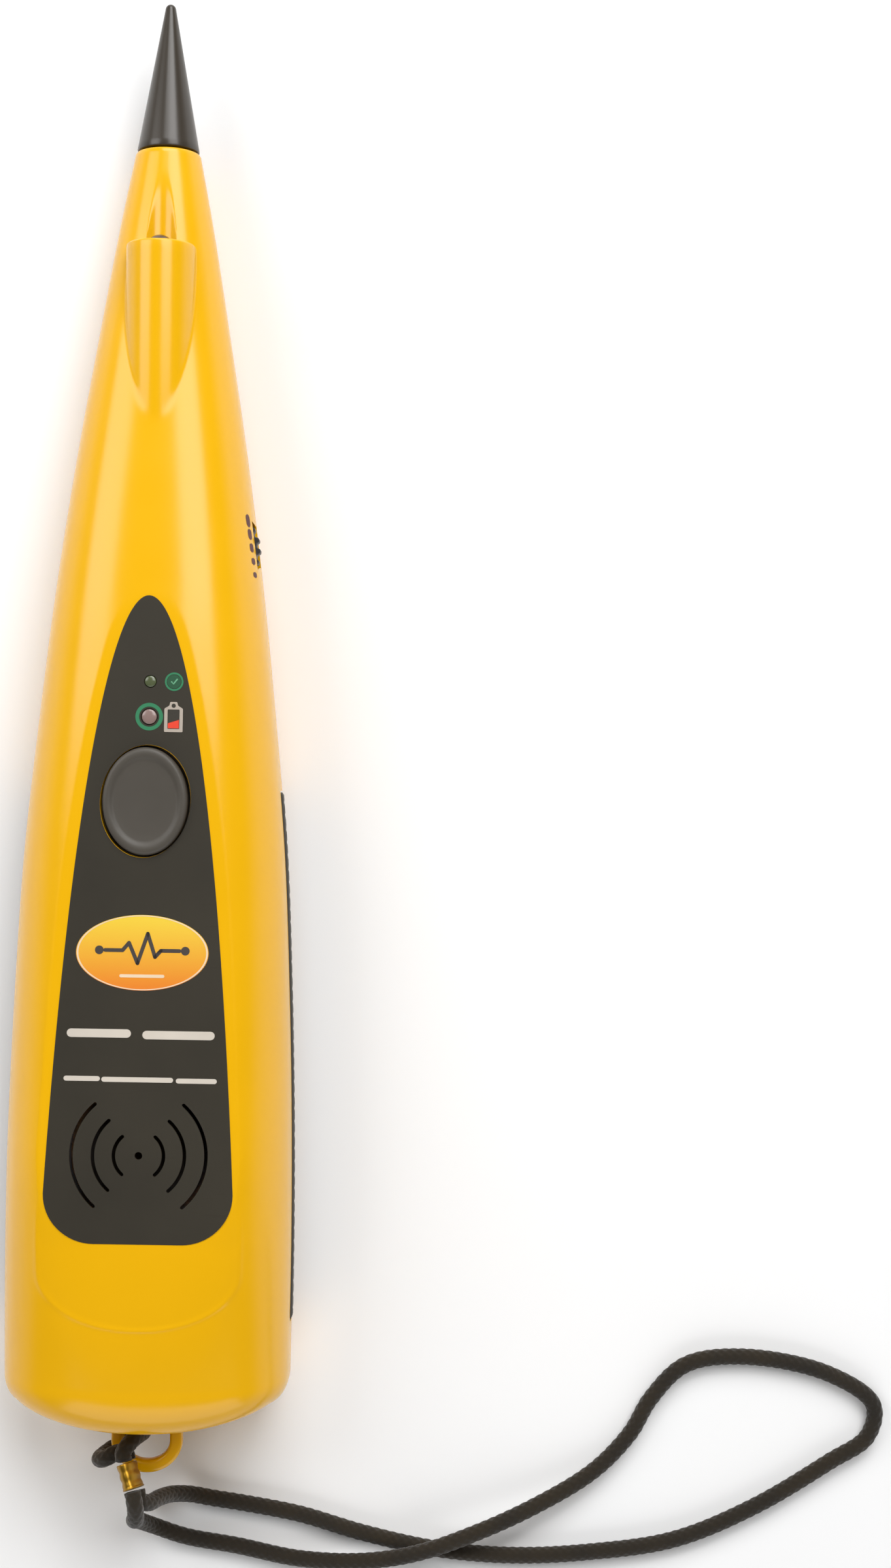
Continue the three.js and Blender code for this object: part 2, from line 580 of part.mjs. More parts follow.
// Its two strands lie one above the other, so its section is twice as high as wide.
function ferrule() {
  const [top, end] = [FERRULE.top, FERRULE.end].map((p) => new THREE.Vector3(...p));
  const along = end.clone().sub(top);
  const depth = along.length();
  along.normalize();
  const across = new THREE.Vector3(-along.y, along.x, 0).normalize();
  const upward = along.clone().cross(across);
  const blank = new THREE.ExtrudeGeometry(ellipseShape(FERRULE.rx, FERRULE.rz), {
    depth, bevelEnabled: false, curveSegments: 10,
  });
  return blank.applyMatrix4(new THREE.Matrix4().makeBasis(across, upward, along));
}

// ---- Materials ----
const colours = {
  yellow_abs: [0xf0b400, 0.42, 0],
  black_rubber: [0x36302a, 0.75, 0],
  label_film: [0x3b352d, 0.8, 0],
  badge_ink: [0xf0a83c, 0.5, 0],
  tip_plastic: [0x3a342e, 0.35, 0],
  brass: [0xb08428, 0.35, 1],
  steel: [0xb8bcc0, 0.35, 1],
  copper: [0xb87346, 0.4, 1],
  board: [0x1f6b3a, 0.55, 0],
  dark_plastic: [0x1c1c1e, 0.5, 0],
  green_lens: [0x4c8a4c, 0.2, 0],
  red_lens: [0xd8a098, 0.2, 0],
  clear_lens: [0xdfe6ea, 0.1, 0],
  paper_cone: [0x2a2826, 0.9, 0],
  foam: [0x4a4a4c, 0.95, 0],
  battery_skin: [0x2b2f38, 0.4, 0.3],
  red_wire: [0xb32320, 0.5, 0],
  black_wire: [0x202020, 0.5, 0],
  cord: [0x39302a, 0.9, 0],
};

function material(name) {
  const [color, roughness, metalness] = colours[name];
  return new THREE.MeshStandardMaterial({ name, color, roughness, metalness });
}

// ---- Assembly ----
const group = new THREE.Group();
group.add(face);

function place(name, shape, finish, { at = [0, 0, 0], turn = [0, 0, 0], parent = group } = {}) {
  const geometry = shape instanceof THREE.BufferGeometry ? geometryOf(solid(shape)) : geometryOf(shape);
  geometry.computeVertexNormals();
  const mesh = new THREE.Mesh(geometry, material(finish));
  mesh.name = name;
  mesh.position.set(...at);
  mesh.rotation.set(...turn);
  parent.add(mesh);
}

place('front_shell', frontShell(), 'yellow_abs');
place('back_shell', backShell(), 'yellow_abs');
place('battery_door', batteryDoor(), 'yellow_abs');
place('left_grip', grip(-1), 'black_rubber');
place('right_grip', grip(1), 'black_rubber');

place('probe_tip', probeTip(), 'tip_plastic', { at: [0, 0, PARTING_Z] });
place('tip_stud', rodAlongY(STUD_R, 90.6, PARTING_Z, TIP.boreEndY - 0.4, PARTING_Z), 'brass');
place('tip_nut', tipNut(), 'brass', { at: [0, 94.3, PARTING_Z], turn: [Math.PI / 2, 0, 0] });
place('antenna_wire', tube([[0, 90.3, 11], [0, 80, 11.6], [0, 62, 14.2], [0, 51, 16.8], [0, 46, 17]], 0.6, 14),
  'copper');

place('face_label', faceLabel(), 'label_film', { parent: face });
place('label_badge', plate(ellipseShape(BADGE.rx, BADGE.ry, 0, BADGE.y), -0.38, 0.04, 10), 'badge_ink',
  { parent: face });

place('push_button', pushButton(), 'black_rubber', { at: [0, BUTTON.y, 0] });
place('switch_plunger', rod(0, 0, 1.6, 0, 2.5, 14), 'dark_plastic', { at: [0, BUTTON.y, 22.1] });
place('tact_switch', tactSwitch(), 'dark_plastic', { at: [0, BUTTON.y, BOARD.z + BOARD.thick + GAP] });
place('green_led', statusLight(GREEN_LIGHT), 'green_lens', { at: [GREEN_LIGHT.x, GREEN_LIGHT.y, 0] });
place('red_led', statusLight(RED_LIGHT), 'red_lens', { at: [RED_LIGHT.x, RED_LIGHT.y, 0] });
place('main_board', mainBoard(), 'board');
place('amplifier_chip', box(-4, 4, -3, 3, 0, 2.4), 'dark_plastic', { at: [-5.5, 26, 19.9] });
for (const [i, x] of [-9.5, 9.5].entries()) {
  place(`filter_capacitor_${i + 1}`, rod(0, 0, 3, 0, 5.8, 16), 'dark_plastic', { at: [x, -30, 19.9] });
}

place('torch_led', torchLight(), 'clear_lens', { at: [0, 0, TORCH.z] });
place('torch_collar', torchCollar(), 'dark_plastic', { at: [0, 81, TORCH.z] });
for (const [i, x] of [-1.27, 1.27].entries()) {
  const route = [[x, 79.1, TORCH.z], [x, 68, 19.6], [x, 57, 19], [x, 47, 20.5]];
  place(`torch_lead_${i + 1}`, tube(route, 0.4, 10, 6), 'copper');
}

place('volume_wheel', volumeWheel(), 'dark_plastic', { at: [WHEEL.x, WHEEL.y, WHEEL.z] });
place('wheel_screw', screw({ headR: 1.9, headH: 0.8, shaftR: 1 }, 5), 'steel',
  { at: [WHEEL.x, WHEEL.y, WHEEL.z - GAP] });
place('volume_pot', volumePot(), 'dark_plastic');

const speakerAt = { at: [0, SPEAKER.y, 0] };
place('speaker_frame', upright(SPEAKER_FRAME, 24), 'steel', speakerAt);
place('speaker_magnet', rod(0, 0, 5.8, 21, 23.3, 24), 'steel', speakerAt);
place('speaker_cone', upright(SPEAKER_CONE, 24), 'paper_cone', speakerAt);
place('speaker_gasket', upright(SPEAKER_GASKET, 24), 'foam', speakerAt);
for (const [i, x] of [-6.5, -4].entries()) {
  const route = [[x, -57.4, 23.6], [x, -51, 23], [x, -46, 21.4], [x, -42, 20.6]];
  place(`speaker_lead_${i + 1}`, tube(route, 0.5, 8, 6), i === 0 ? 'red_wire' : 'black_wire');
}

place('battery', battery(), 'battery_skin');
place('battery_snap', box(-12.8, 12.8, -61.3, -59.5, 4.2, 19.3), 'dark_plastic');
place('battery_foam', box(-12, 12, -114.9, -110.6, 4, 19), 'foam');
for (const [i, x] of [-3, 3].entries()) {
  const route = [[x, -59.1, 13], [x, -53, 13.4], [x, -47, 16], [x, -40, 17]];
  place(i === 0 ? 'battery_lead_red' : 'battery_lead_black', tube(route, 0.55, 8, 6),
    i === 0 ? 'red_wire' : 'black_wire');
}

for (const [i, [x, y, seat]] of CASE_SCREWS.entries()) {
  place(`case_screw_${i + 1}`, screw(CASE_SCREW, CASE_SCREW.length), 'steel', { at: [x, y, seat] });
}
for (const [i, [x, y]] of BOARD_SCREWS.entries()) {
  place(`board_screw_${i + 1}`, screw(BOARD_SCREW, BOARD_SCREW.topZ - 17.7), 'steel', { at: [x, y, 17.7] });
}

place('lanyard_ring', plate(ringShape(0), RING.z, RING.z + RING.thick, 10), 'yellow_abs');
place('cord_ferrule', ferrule(), 'brass', { at: FERRULE.top });
place('wrist_cord', tube(WRIST_ROUTE, CORD_R, 66), 'cord');
place('ring_cord', tube(RING_ROUTE, CORD_R, 22), 'cord');

export default group;
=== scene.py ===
"""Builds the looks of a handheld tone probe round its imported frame.

Lengths in this file are millimetres in the frame's own axes, and mesh_piece turns them into metres:
+Y runs from the base to the tip, +Z out of the button face, and the probe lies on its back on z = 0.
"""

import math

import bmesh
import bpy
from bpy.props import FloatProperty, FloatVectorProperty, IntProperty, PointerProperty
from mathutils import Matrix, Vector


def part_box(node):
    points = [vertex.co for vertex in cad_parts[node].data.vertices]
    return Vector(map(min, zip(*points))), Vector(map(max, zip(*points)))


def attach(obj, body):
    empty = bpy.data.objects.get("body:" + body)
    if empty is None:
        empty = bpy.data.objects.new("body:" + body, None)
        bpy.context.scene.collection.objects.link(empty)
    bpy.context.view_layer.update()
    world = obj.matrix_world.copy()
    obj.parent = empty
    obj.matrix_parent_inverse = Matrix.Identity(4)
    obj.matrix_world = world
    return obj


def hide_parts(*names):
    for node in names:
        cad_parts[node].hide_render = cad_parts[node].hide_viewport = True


bl_info = {
    "name": "Tone Probe Builder",
    "version": (1, 0, 0),
    "blender": (4, 5, 0),
    "location": "View3D > Sidebar > Tone Probe",
    "description": "Builds a cable tracing tone probe, its face, its grips and its braided wrist cord",
    "category": "Object",
}

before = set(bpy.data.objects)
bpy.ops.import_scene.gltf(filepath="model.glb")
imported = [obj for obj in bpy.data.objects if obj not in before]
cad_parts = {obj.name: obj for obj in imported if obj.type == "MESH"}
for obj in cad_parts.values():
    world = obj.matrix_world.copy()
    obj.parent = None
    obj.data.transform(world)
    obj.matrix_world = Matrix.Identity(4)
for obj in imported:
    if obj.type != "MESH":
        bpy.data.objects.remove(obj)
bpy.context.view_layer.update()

MM = 0.001
PARTING_Z = 11.0
SEAM = 0.15
WALL = 2.6
FACE_WALL = 2.2
GAP = 0.3


def node_box(name):
    """The lowest and highest corners of a frame node, in millimetres."""
    low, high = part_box(name)
    return Vector(low) / MM, Vector(high) / MM


# ---- The case outline, as [y, value] stations that a smooth curve joins ----

HALF_WIDTH = [
    (105, 5.75), (91, 8.45), (73, 11.5), (50, 15.2), (26, 18.45), (3, 21),
    (-20, 23.2), (-43, 24.4), (-67, 25.2), (-90, 25.5), (-116, 25.4),
]
RIDGE = [
    (105, 16.75), (86, 19.6), (55, 23.9), (24, 27.6), (9, 28.8), (-10, 30.15),
    (-30, 31.45), (-60, 33), (-77, 33.6), (-102, 30.75), (-116, 28.8),
]
BACK = [(105, 5.25), (85, 4.2), (60, 2.8), (30, 1.3), (0, 0.1), (-20, -0.7), (-116, -0.8)]
SQUARENESS = [(105, 2), (60, 2.35), (24, 2.6), (-116, 2.6)]

NOSE_Y = 104.9
BASE_Y = -113.4
BASE_CORNER = 3.2
BASE_DEPTH = 4.9
BASE_ROUND_Z = 6.0
BASE_BOW = 3.7
CAVITY = (94.6, -115.0)

FACE_TOP_Y = 24.0
FACE_TOP_Z = 27.6
FACE_SLOPE = 0.025
CREASE = 0.2  # how softly the flat face meets the case
CREASE_BEAD = 0.05
RIM_FROM_Y = -80.0  # towards the base of here the face fades out, and a raised line rounds its end
RIM_FADE = 8.0
RIM_CREASE = 2.2
RIM = (-92.6, 17.4, 9.8)  # its middle's y, its half width and its reach to the base
RIM_PROUD = 0.13
RIM_WIDTH = 0.3

POD_FACE_Y = 86.6
POD_END_Y = 52.0
POD_R = 6.1
POD_Z = (19.2, 17.6)
SCOOP_R = 3.2
SCOOP_Z = 20.9
TORCH_Z = 20.6

LABEL_APEX_Y = 24.2
LABEL_END_Y = -87.5
LABEL_CORNER_Y = -79.0
LABEL_FLAT = 7.5
BADGE = (0.0, -37.5, 11.4, 6.5)
BUTTON = (0.0, -11.4, 7.3, 9.3)
GREEN_LIGHT = (0.5, 9.3, 1.0)
RED_LIGHT = (0.4, 3.2, 1.3)
SPEAKER_Y = -72.3
SLOT_RADII = (4.3, 7.9, 11.6)
SLOT_WIDTH = 0.62
SLOT_ANGLE = math.radians(49)

GRIP_Y = (-104.0, -9.6)
GRIP_Z = (4.0, 13.6)
GRIP_PROUD = 0.25

CASE_SCREWS = [f"case_screw_{i}" for i in range(1, 7)]
BOSS_R = 3.4
PILOT_R = 1.5
STUD_HOLE_R = 2.25

ARCH_Y = -126.2
CAMERA_PLACE = (0.0517, -0.0076, 0.416)
CAMERA_TURN = 0.01606

WRIST_ROUTE = [
    (-1.07, -133.99, 17.05), (-0.5, -135.5, 17.2), (0.8, -136.6, 15.2), (2.2, -137, 11), (4, -137.7, 6.6),
    (7, -138.8, 3), (11, -139.9, 1.6), (17, -140.8, 1.5), (27, -142.6, 1.5), (38.8, -145.9, 1.5),
    (52, -148.6, 1.5), (66, -149.6, 1.5), (80, -148.8, 1.5), (96, -146.2, 1.5), (110.5, -140, 1.5),
    (124.5, -131.4, 1.5), (131.4, -126.6, 1.5), (132.4, -120.8, 1.5), (124, -115.2, 1.5), (108, -112.3, 1.5),
    (97.6, -114, 1.5), (91.4, -120.2, 1.5), (87.6, -126.8, 1.5), (81, -133.6, 2), (70, -140, 3.4),
    (58.4, -145, 4.7), (48.7, -148.4, 4.8), (38.9, -150.4, 3.6), (27, -150.7, 1.8), (15.5, -148.6, 1.5),
    (6, -147, 1.6), (0.6, -144.8, 3), (-1.8, -142.3, 7.6), (-1.9, -140.3, 13.4), (-1, -138.1, 18.7),
    (-0.9, -135.4, 20.6), (-1.39, -133.12, 20.42),
]
RING_ROUTE = [
    (-3.23, -128.11, 18.95), (-3.4, -126.8, 18.3), (-2.2, -125.2, 16.8), (-1.2, -124.9, 13.6),
    (-1, -125.4, 10.3), (-2.2, -126.6, 7.7), (-4.6, -128, 6.8), (-6.9, -129.2, 7.9), (-8.3, -129.8, 10.6),
    (-8.2, -129.5, 13.4), (-6.9, -128.8, 15.1), (-5.1, -127.8, 15.3), (-3.45, -127.8, 15.2),
    (-2.91, -128.98, 15.58),
]
FERRULE_TOP = Vector((-2.9, -129, 17.4))
FERRULE_END = Vector((-1.4, -133.1, 18.6))


# ---- Settings that a user would change ----


class CaseSettings(bpy.types.PropertyGroup):
    """Sizes and colours of the moulded case"""

    plastic: FloatVectorProperty(
        name="Plastic", description="Colour of the moulded case", subtype="COLOR", size=3,
        min=0, max=1, default=(0.82, 0.43, 0.0),
    )
    roughness: FloatProperty(
        name="Roughness", description="Roughness of the moulded case", default=0.22, min=0, max=1,
    )
    columns: IntProperty(name="Columns", description="Points across half the case", default=180, min=40)
    rows: IntProperty(name="Rows", description="Sections along the case", default=230, min=60)


class FaceSettings(bpy.types.PropertyGroup):
    """Colours of the label and its printing"""

    film: FloatVectorProperty(
        name="Label film", description="Colour of the label", subtype="COLOR", size=3,
        min=0, max=1, default=(0.028, 0.023, 0.014),
    )
    print_white: FloatVectorProperty(
        name="Print", description="Colour of the pale printing", subtype="COLOR", size=3,
        min=0, max=1, default=(0.62, 0.56, 0.48),
    )
    badge_top: FloatVectorProperty(
        name="Badge top", description="Colour at the badge's upper edge", subtype="COLOR", size=3,
        min=0, max=1, default=(0.84, 0.6, 0.04),
    )
    badge_bottom: FloatVectorProperty(
        name="Badge bottom", description="Colour at the badge's lower edge", subtype="COLOR", size=3,
        min=0, max=1, default=(0.78, 0.2, 0.01),
    )


class CordSettings(bpy.types.PropertyGroup):
    """Size and colour of the wrist cord"""

    diameter: FloatProperty(
        name="Diameter", description="Thickness of the cord", unit="LENGTH", default=0.003, min=0.001,
    )
    plait: FloatProperty(
        name="Plait", description="Length of one crossing of the braid", unit="LENGTH", default=0.0016,
        min=0.0005,
    )
    yarn: FloatVectorProperty(
        name="Yarn", description="Colour of the braided yarn", subtype="COLOR", size=3,
        min=0, max=1, default=(0.017, 0.012, 0.006),
    )


class StageSettings(bpy.types.PropertyGroup):
    """Floor and camera"""

    floor: FloatVectorProperty(
        name="Floor", description="Colour of the floor", subtype="COLOR", size=3,
        min=0, max=1, default=(0.93, 0.93, 0.93),
    )
    lens: FloatProperty(name="Lens", description="Focal length", subtype="DISTANCE_CAMERA", default=51.6)


# ---- Curves and forms: a form is a list of points and a list of faces ----


def station(stations, y):
    """The smooth curve through [y, value] stations that run down in y."""
    last = len(stations) - 2
    i = 0
    while i < last and y < stations[i + 1][0]:
        i += 1

    def slope(a, b):
        return (stations[b][1] - stations[a][1]) / (stations[b][0] - stations[a][0])

    start_slope = slope(max(i - 1, 0), i + 1)
    end_slope = slope(i, min(i + 2, len(stations) - 1))
    y0, v0 = stations[i]
    y1, v1 = stations[i + 1]
    span = y1 - y0
    t = min(max((y - y0) / span, 0), 1)
    t2, t3 = t * t, t * t * t
    return (
        (2 * t3 - 3 * t2 + 1) * v0 + (t3 - 2 * t2 + t) * span * start_slope
        + (3 * t2 - 2 * t3) * v1 + (t3 - t2) * span * end_slope
    )


def smooth_min(a, b, k):
    h = max(k - abs(a - b), 0) / k
    return min(a, b) - h * h * k / 4


def smooth_max(a, b, k):
    return -smooth_min(-a, -b, k)


def between(pair, share):
    return pair[0] + (pair[1] - pair[0]) * share


def face_z(y):
    return FACE_TOP_Z + FACE_SLOPE * (FACE_TOP_Y - y)


def loft(rings):
    """A closed surface through rings of equally many points, with a flat cap on each end."""
    sides = len(rings[0])
    points = [p for ring in rings for p in ring]
    faces = []
    for r in range(len(rings) - 1):
        for s in range(sides):
            a, b = r * sides + s, r * sides + (s + 1) % sides
            faces.append((a, b, b + sides, a + sides))
    faces.append(tuple(reversed(range(sides))))
    faces.append(tuple(range((len(rings) - 1) * sides, len(rings) * sides)))
    return points, faces


def merge(forms):
    points, faces = [], []
    for form_points, form_faces in forms:
        first = len(points)
        points.extend(form_points)
        faces.extend(tuple(i + first for i in face) for face in form_faces)
    return points, faces


def prism(outline, z0, z1):
    return loft([[(x, y, z) for x, y in outline] for z in (z0, z1)])


def ellipse(x, y, rx, ry, sides=48):
    turn = 2 * math.pi / sides
    return [(x + rx * math.cos(k * turn), y + ry * math.sin(k * turn)) for k in range(sides)]


def arc_band(r, width, middle, half_angle, y, steps=24):
    """A round-ended stroke along an arc."""
    points = []
    for radius, way in ((r + width / 2, 1), (r - width / 2, -1)):
        for k in range(steps + 1):
            angle = middle + way * half_angle * (2 * k / steps - 1)
            points.append((radius * math.cos(angle), y + radius * math.sin(angle)))
        end = middle + way * half_angle
        cx, cy = r * math.cos(end), y + r * math.sin(end)
        for k in range(1, 6):
            tip = end + (math.pi if way < 0 else 0) + math.pi * k / 6
            points.append((cx + width / 2 * math.cos(tip), cy + width / 2 * math.sin(tip)))
    return points


def bar(x0, x1, y, width, steps=8):
    """A round-ended straight stroke."""
    points = []
    for x, start in ((x1, -math.pi / 2), (x0, math.pi / 2)):
        for k in range(steps + 1):
            angle = start + math.pi * k / steps
            points.append((x + width / 2 * math.cos(angle), y + width / 2 * math.sin(angle)))
    return points


def rod(x, y, r, z0, z1, sides=32):
    return prism(ellipse(x, y, r, r, sides), z0, z1)


def rod_along_y(x, z, r, y0, y1, sides=40):
    circle = ellipse(0, 0, r, r, sides)
    return loft([[(x + a, y, z + b) for a, b in circle] for y in (y0, y1)])


def block(x0, x1, y0, y1, z0, z1):
    return prism([(x0, y0), (x1, y0), (x1, y1), (x0, y1)], z0, z1)


def lathe(profile, sides=64):
    """A profile of (radius, height) turned about Z; it starts and ends on the axis."""
    rings = []
    for r, z in profile[1:-1]:
        rings.append([(a, b, z) for a, b in ellipse(0, 0, r, r, sides)])
    points, faces = loft(rings)
    del faces[-2:]
    last = (len(rings) - 1) * sides
    points.extend([(0, 0, profile[0][1]), (0, 0, profile[-1][1])])
    low, high = len(points) - 2, len(points) - 1
    for s in range(sides):
        nxt = (s + 1) % sides
        faces.append((low, nxt, s))
        faces.append((high, last + s, last + nxt))
    return points, faces


def dome(r, z, height, steps):
    """The profile of a rounded end, without its ends."""
    turns = [math.pi / 2 * k / steps for k in range(1, steps)]
    return [(r * math.cos(turn), z + height * math.sin(turn)) for turn in turns]


def washer(profile, sides=64):
    """A closed profile of (radius, height) turned about Z, clear of the axis."""
    rings = [[(a, b, z) for a, b in ellipse(0, 0, r, r, sides)] for r, z in profile]
    points, faces = loft(rings + [rings[0]])
    del faces[-2:]
    total = len(rings) * sides
    faces = [tuple(i % total for i in face) for face in faces]
    return points[:total], faces


def moved(form, matrix):
    points, faces = form
    return [tuple(matrix @ Vector(p)) for p in points], faces


def upright_to_y(form, z=0.0):
    """Turns a form made about Z so that its axis runs along Y at a height."""
    return moved(form, Matrix.Translation((0, 0, z)) @ Matrix.Rotation(-math.pi / 2, 4, "X"))


def rounded(corners, radius, steps=5):
    """A polygon with each corner rounded by an arc-like curve."""
    points = []
    count = len(corners)
    for i, corner in enumerate(corners):
        here = Vector(corner)
        back = (Vector(corners[i - 1]) - here).normalized() * radius
        ahead = (Vector(corners[(i + 1) % count]) - here).normalized() * radius
        for k in range(steps + 1):
            t = k / steps
            points.append(tuple(here + back * (1 - t) ** 2 + ahead * t * t))
    return points


FACE_MATRIX = Matrix.Translation((0, 0, face_z(0))) @ Matrix.Rotation(-math.atan(FACE_SLOPE), 4, "X")


def on_face(form):
    """A form drawn with z = 0 on the flat face, moved to its place."""
    return moved(form, FACE_MATRIX)


# ---- Objects ----


def mesh_piece(name, form, material, sharp=35):
    """A mesh object from a form in millimetres, smooth but for edges over the sharp angle."""
    points, faces = form
    mesh = bpy.data.meshes.new(name)
    mesh.from_pydata([tuple(c * MM for c in p) for p in points], [], faces)
    work = bmesh.new()
    work.from_mesh(mesh)
    bmesh.ops.remove_doubles(work, verts=work.verts, dist=1e-7)
    bmesh.ops.recalc_face_normals(work, faces=work.faces)
    work.to_mesh(mesh)
    work.free()
    obj = bpy.data.objects.new(name, mesh)
    bpy.context.scene.collection.objects.link(obj)
    if material:
        mesh.materials.append(material)
    soften(obj, sharp)
    return obj


def soften(obj, sharp=35):
    obj.data.shade_smooth()
    obj.data.set_sharp_from_angle(angle=math.radians(sharp))


def apply_modifiers(obj, sharp=35):
    materials = list(obj.data.materials)
    depsgraph = bpy.context.evaluated_depsgraph_get()
    mesh = bpy.data.meshes.new_from_object(obj.evaluated_get(depsgraph))
    obj.modifiers.clear()
    obj.data = mesh
    mesh.materials.clear()
    for material in materials:
        mesh.materials.append(material)
    for polygon in mesh.polygons:
        polygon.material_index = 0
    soften(obj, sharp)


def carve(obj, forms, operation="DIFFERENCE", sharp=35):
    """Cuts the forms out of a piece, or joins or intersects them with it."""
    carve_with(obj, mesh_piece(obj.name + "_tool", merge(forms), None), operation, sharp)


def carve_with(obj, tool, operation="DIFFERENCE", sharp=35):
    """Cuts another piece out of a piece, or joins or intersects them, and discards the other."""
    modifier = obj.modifiers.new("carve", "BOOLEAN")
    modifier.operation = operation
    modifier.solver = "EXACT"
    modifier.object = tool
    apply_modifiers(obj, sharp)
    bpy.data.objects.remove(tool)


def bevel(obj, width, angle):
    modifier = obj.modifiers.new("bevel", "BEVEL")
    modifier.width = width * MM
    modifier.segments = 2
    modifier.limit_method = "ANGLE"
    modifier.angle_limit = math.radians(angle)
    modifier.miter_outer = "MITER_ARC"
    apply_modifiers(obj)


def settle(obj, body, slot, *nodes):
    """Makes a piece ride on its body and hides the nodes it stands for; its slot is not used."""
    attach(obj, body)
    if nodes:
        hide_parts(*nodes)
    return obj


# ---- Shader effects that several materials share ----


def new_group(name, inputs, outputs):
    group = bpy.data.node_groups.new(name, "ShaderNodeTree")
    for label, value in inputs:
        socket = group.interface.new_socket(label, in_out="INPUT", socket_type="NodeSocketFloat")
        socket.default_value = value
    for label, kind in outputs:
        group.interface.new_socket(label, in_out="OUTPUT", socket_type=kind)
    return group, group.nodes.new("NodeGroupInput"), group.nodes.new("NodeGroupOutput")


def place_coordinates(tree):
    return tree.nodes.new("ShaderNodeTexCoord").outputs["Object"]


def noise(tree, vector, scale, detail=3.0, roughness=0.55):
    node = tree.nodes.new("ShaderNodeTexNoise")
    tree.links.new(vector, node.inputs["Vector"])
    node.inputs["Detail"].default_value = detail
    node.inputs["Roughness"].default_value = roughness
    if isinstance(scale, (int, float)):
        node.inputs["Scale"].default_value = scale
    else:
        tree.links.new(scale, node.inputs["Scale"])
    return node.outputs["Fac"]


def math_node(tree, operation, a, b):
    node = tree.nodes.new("ShaderNodeMath")
    node.operation = operation
    for socket, value in zip(node.inputs, (a, b)):
        if isinstance(value, (int, float)):
            socket.default_value = value
        else:
            tree.links.new(value, socket)
    return node.outputs[0]


def map_range(tree, value, low, high, to_low, to_high):
    node = tree.nodes.new("ShaderNodeMapRange")
    tree.links.new(value, node.inputs["Value"])
    for label, number in (("From Min", low), ("From Max", high), ("To Min", to_low), ("To Max", to_high)):
        node.inputs[label].default_value = number
    return node.outputs["Result"]


def grain_group():
    """Fine moulded grain for bumps, with slow cloudiness for roughness and tint."""
    group, inputs, outputs = new_group(
        "moulded_grain",
        [("Scale", 2500.0), ("Cloud Scale", 60.0)],
        [("Height", "NodeSocketFloat"), ("Cloud", "NodeSocketFloat")],
    )
    here = place_coordinates(group)
    fine = noise(group, here, inputs.outputs["Scale"], 2.0)
    cloud = noise(group, here, inputs.outputs["Cloud Scale"], 4.0)
    group.links.new(fine, outputs.inputs["Height"])
    group.links.new(cloud, outputs.inputs["Cloud"])
    return group


def scuff_group():
    """Sparse hairline scuffs from rubbing, as a mask from 0 to 1."""
    group, inputs, outputs = new_group(
        "rubbed_scuffs", [("Scale", 160.0), ("Amount", 0.3)], [("Mask", "NodeSocketFloat")]
    )
    here = place_coordinates(group)
    stretch = group.nodes.new("ShaderNodeMapping")
    stretch.inputs["Rotation"].default_value = (0.3, 0.2, 0.9)
    stretch.inputs["Scale"].default_value = (1.0, 14.0, 1.0)
    group.links.new(here, stretch.inputs["Vector"])
    lines = noise(group, stretch.outputs["Vector"], inputs.outputs["Scale"], 2.0, 0.4)
    patches = noise(group, here, 35.0, 2.0)
    ridge = map_range(group, lines, 0.64, 0.72, 0.0, 1.0)
    worn = map_range(group, patches, 0.5, 0.65, 0.0, 1.0)
    mask = math_node(group, "MULTIPLY", ridge, worn)
    group.links.new(math_node(group, "MULTIPLY", mask, inputs.outputs["Amount"]), outputs.inputs["Mask"])
    return group


GROUPS = {}


def effect(tree, name, **values):
    """Places a shared effect in a material, with its own values."""
    if name not in GROUPS:
        GROUPS[name] = {"moulded_grain": grain_group, "rubbed_scuffs": scuff_group}[name]()
    node = tree.nodes.new("ShaderNodeGroup")
    node.node_tree = GROUPS[name]
    for label, value in values.items():
        node.inputs[label.replace("_", " ")].default_value = value
    return node.outputs


def mix_colours(tree, share, a, b):
    node = tree.nodes.new("ShaderNodeMix")
    node.data_type = "RGBA"
    tree.links.new(share, node.inputs["Factor"])
    for socket, value in ((node.inputs[6], a), (node.inputs[7], b)):
        if hasattr(value, "__len__"):
            socket.default_value = (*value[:3], 1.0)
        else:
            tree.links.new(value, socket)
    return node.outputs[2]


def bump(tree, shader, height, strength, distance):
    node = tree.nodes.new("ShaderNodeBump")
    node.inputs["Strength"].default_value = strength
    node.inputs["Distance"].default_value = distance
    tree.links.new(height, node.inputs["Height"])
    tree.links.new(node.outputs["Normal"], shader.inputs["Normal"])


def shade(colour, factor):
    return tuple(min(1.0, c * factor) for c in colour)


MATERIALS = {}


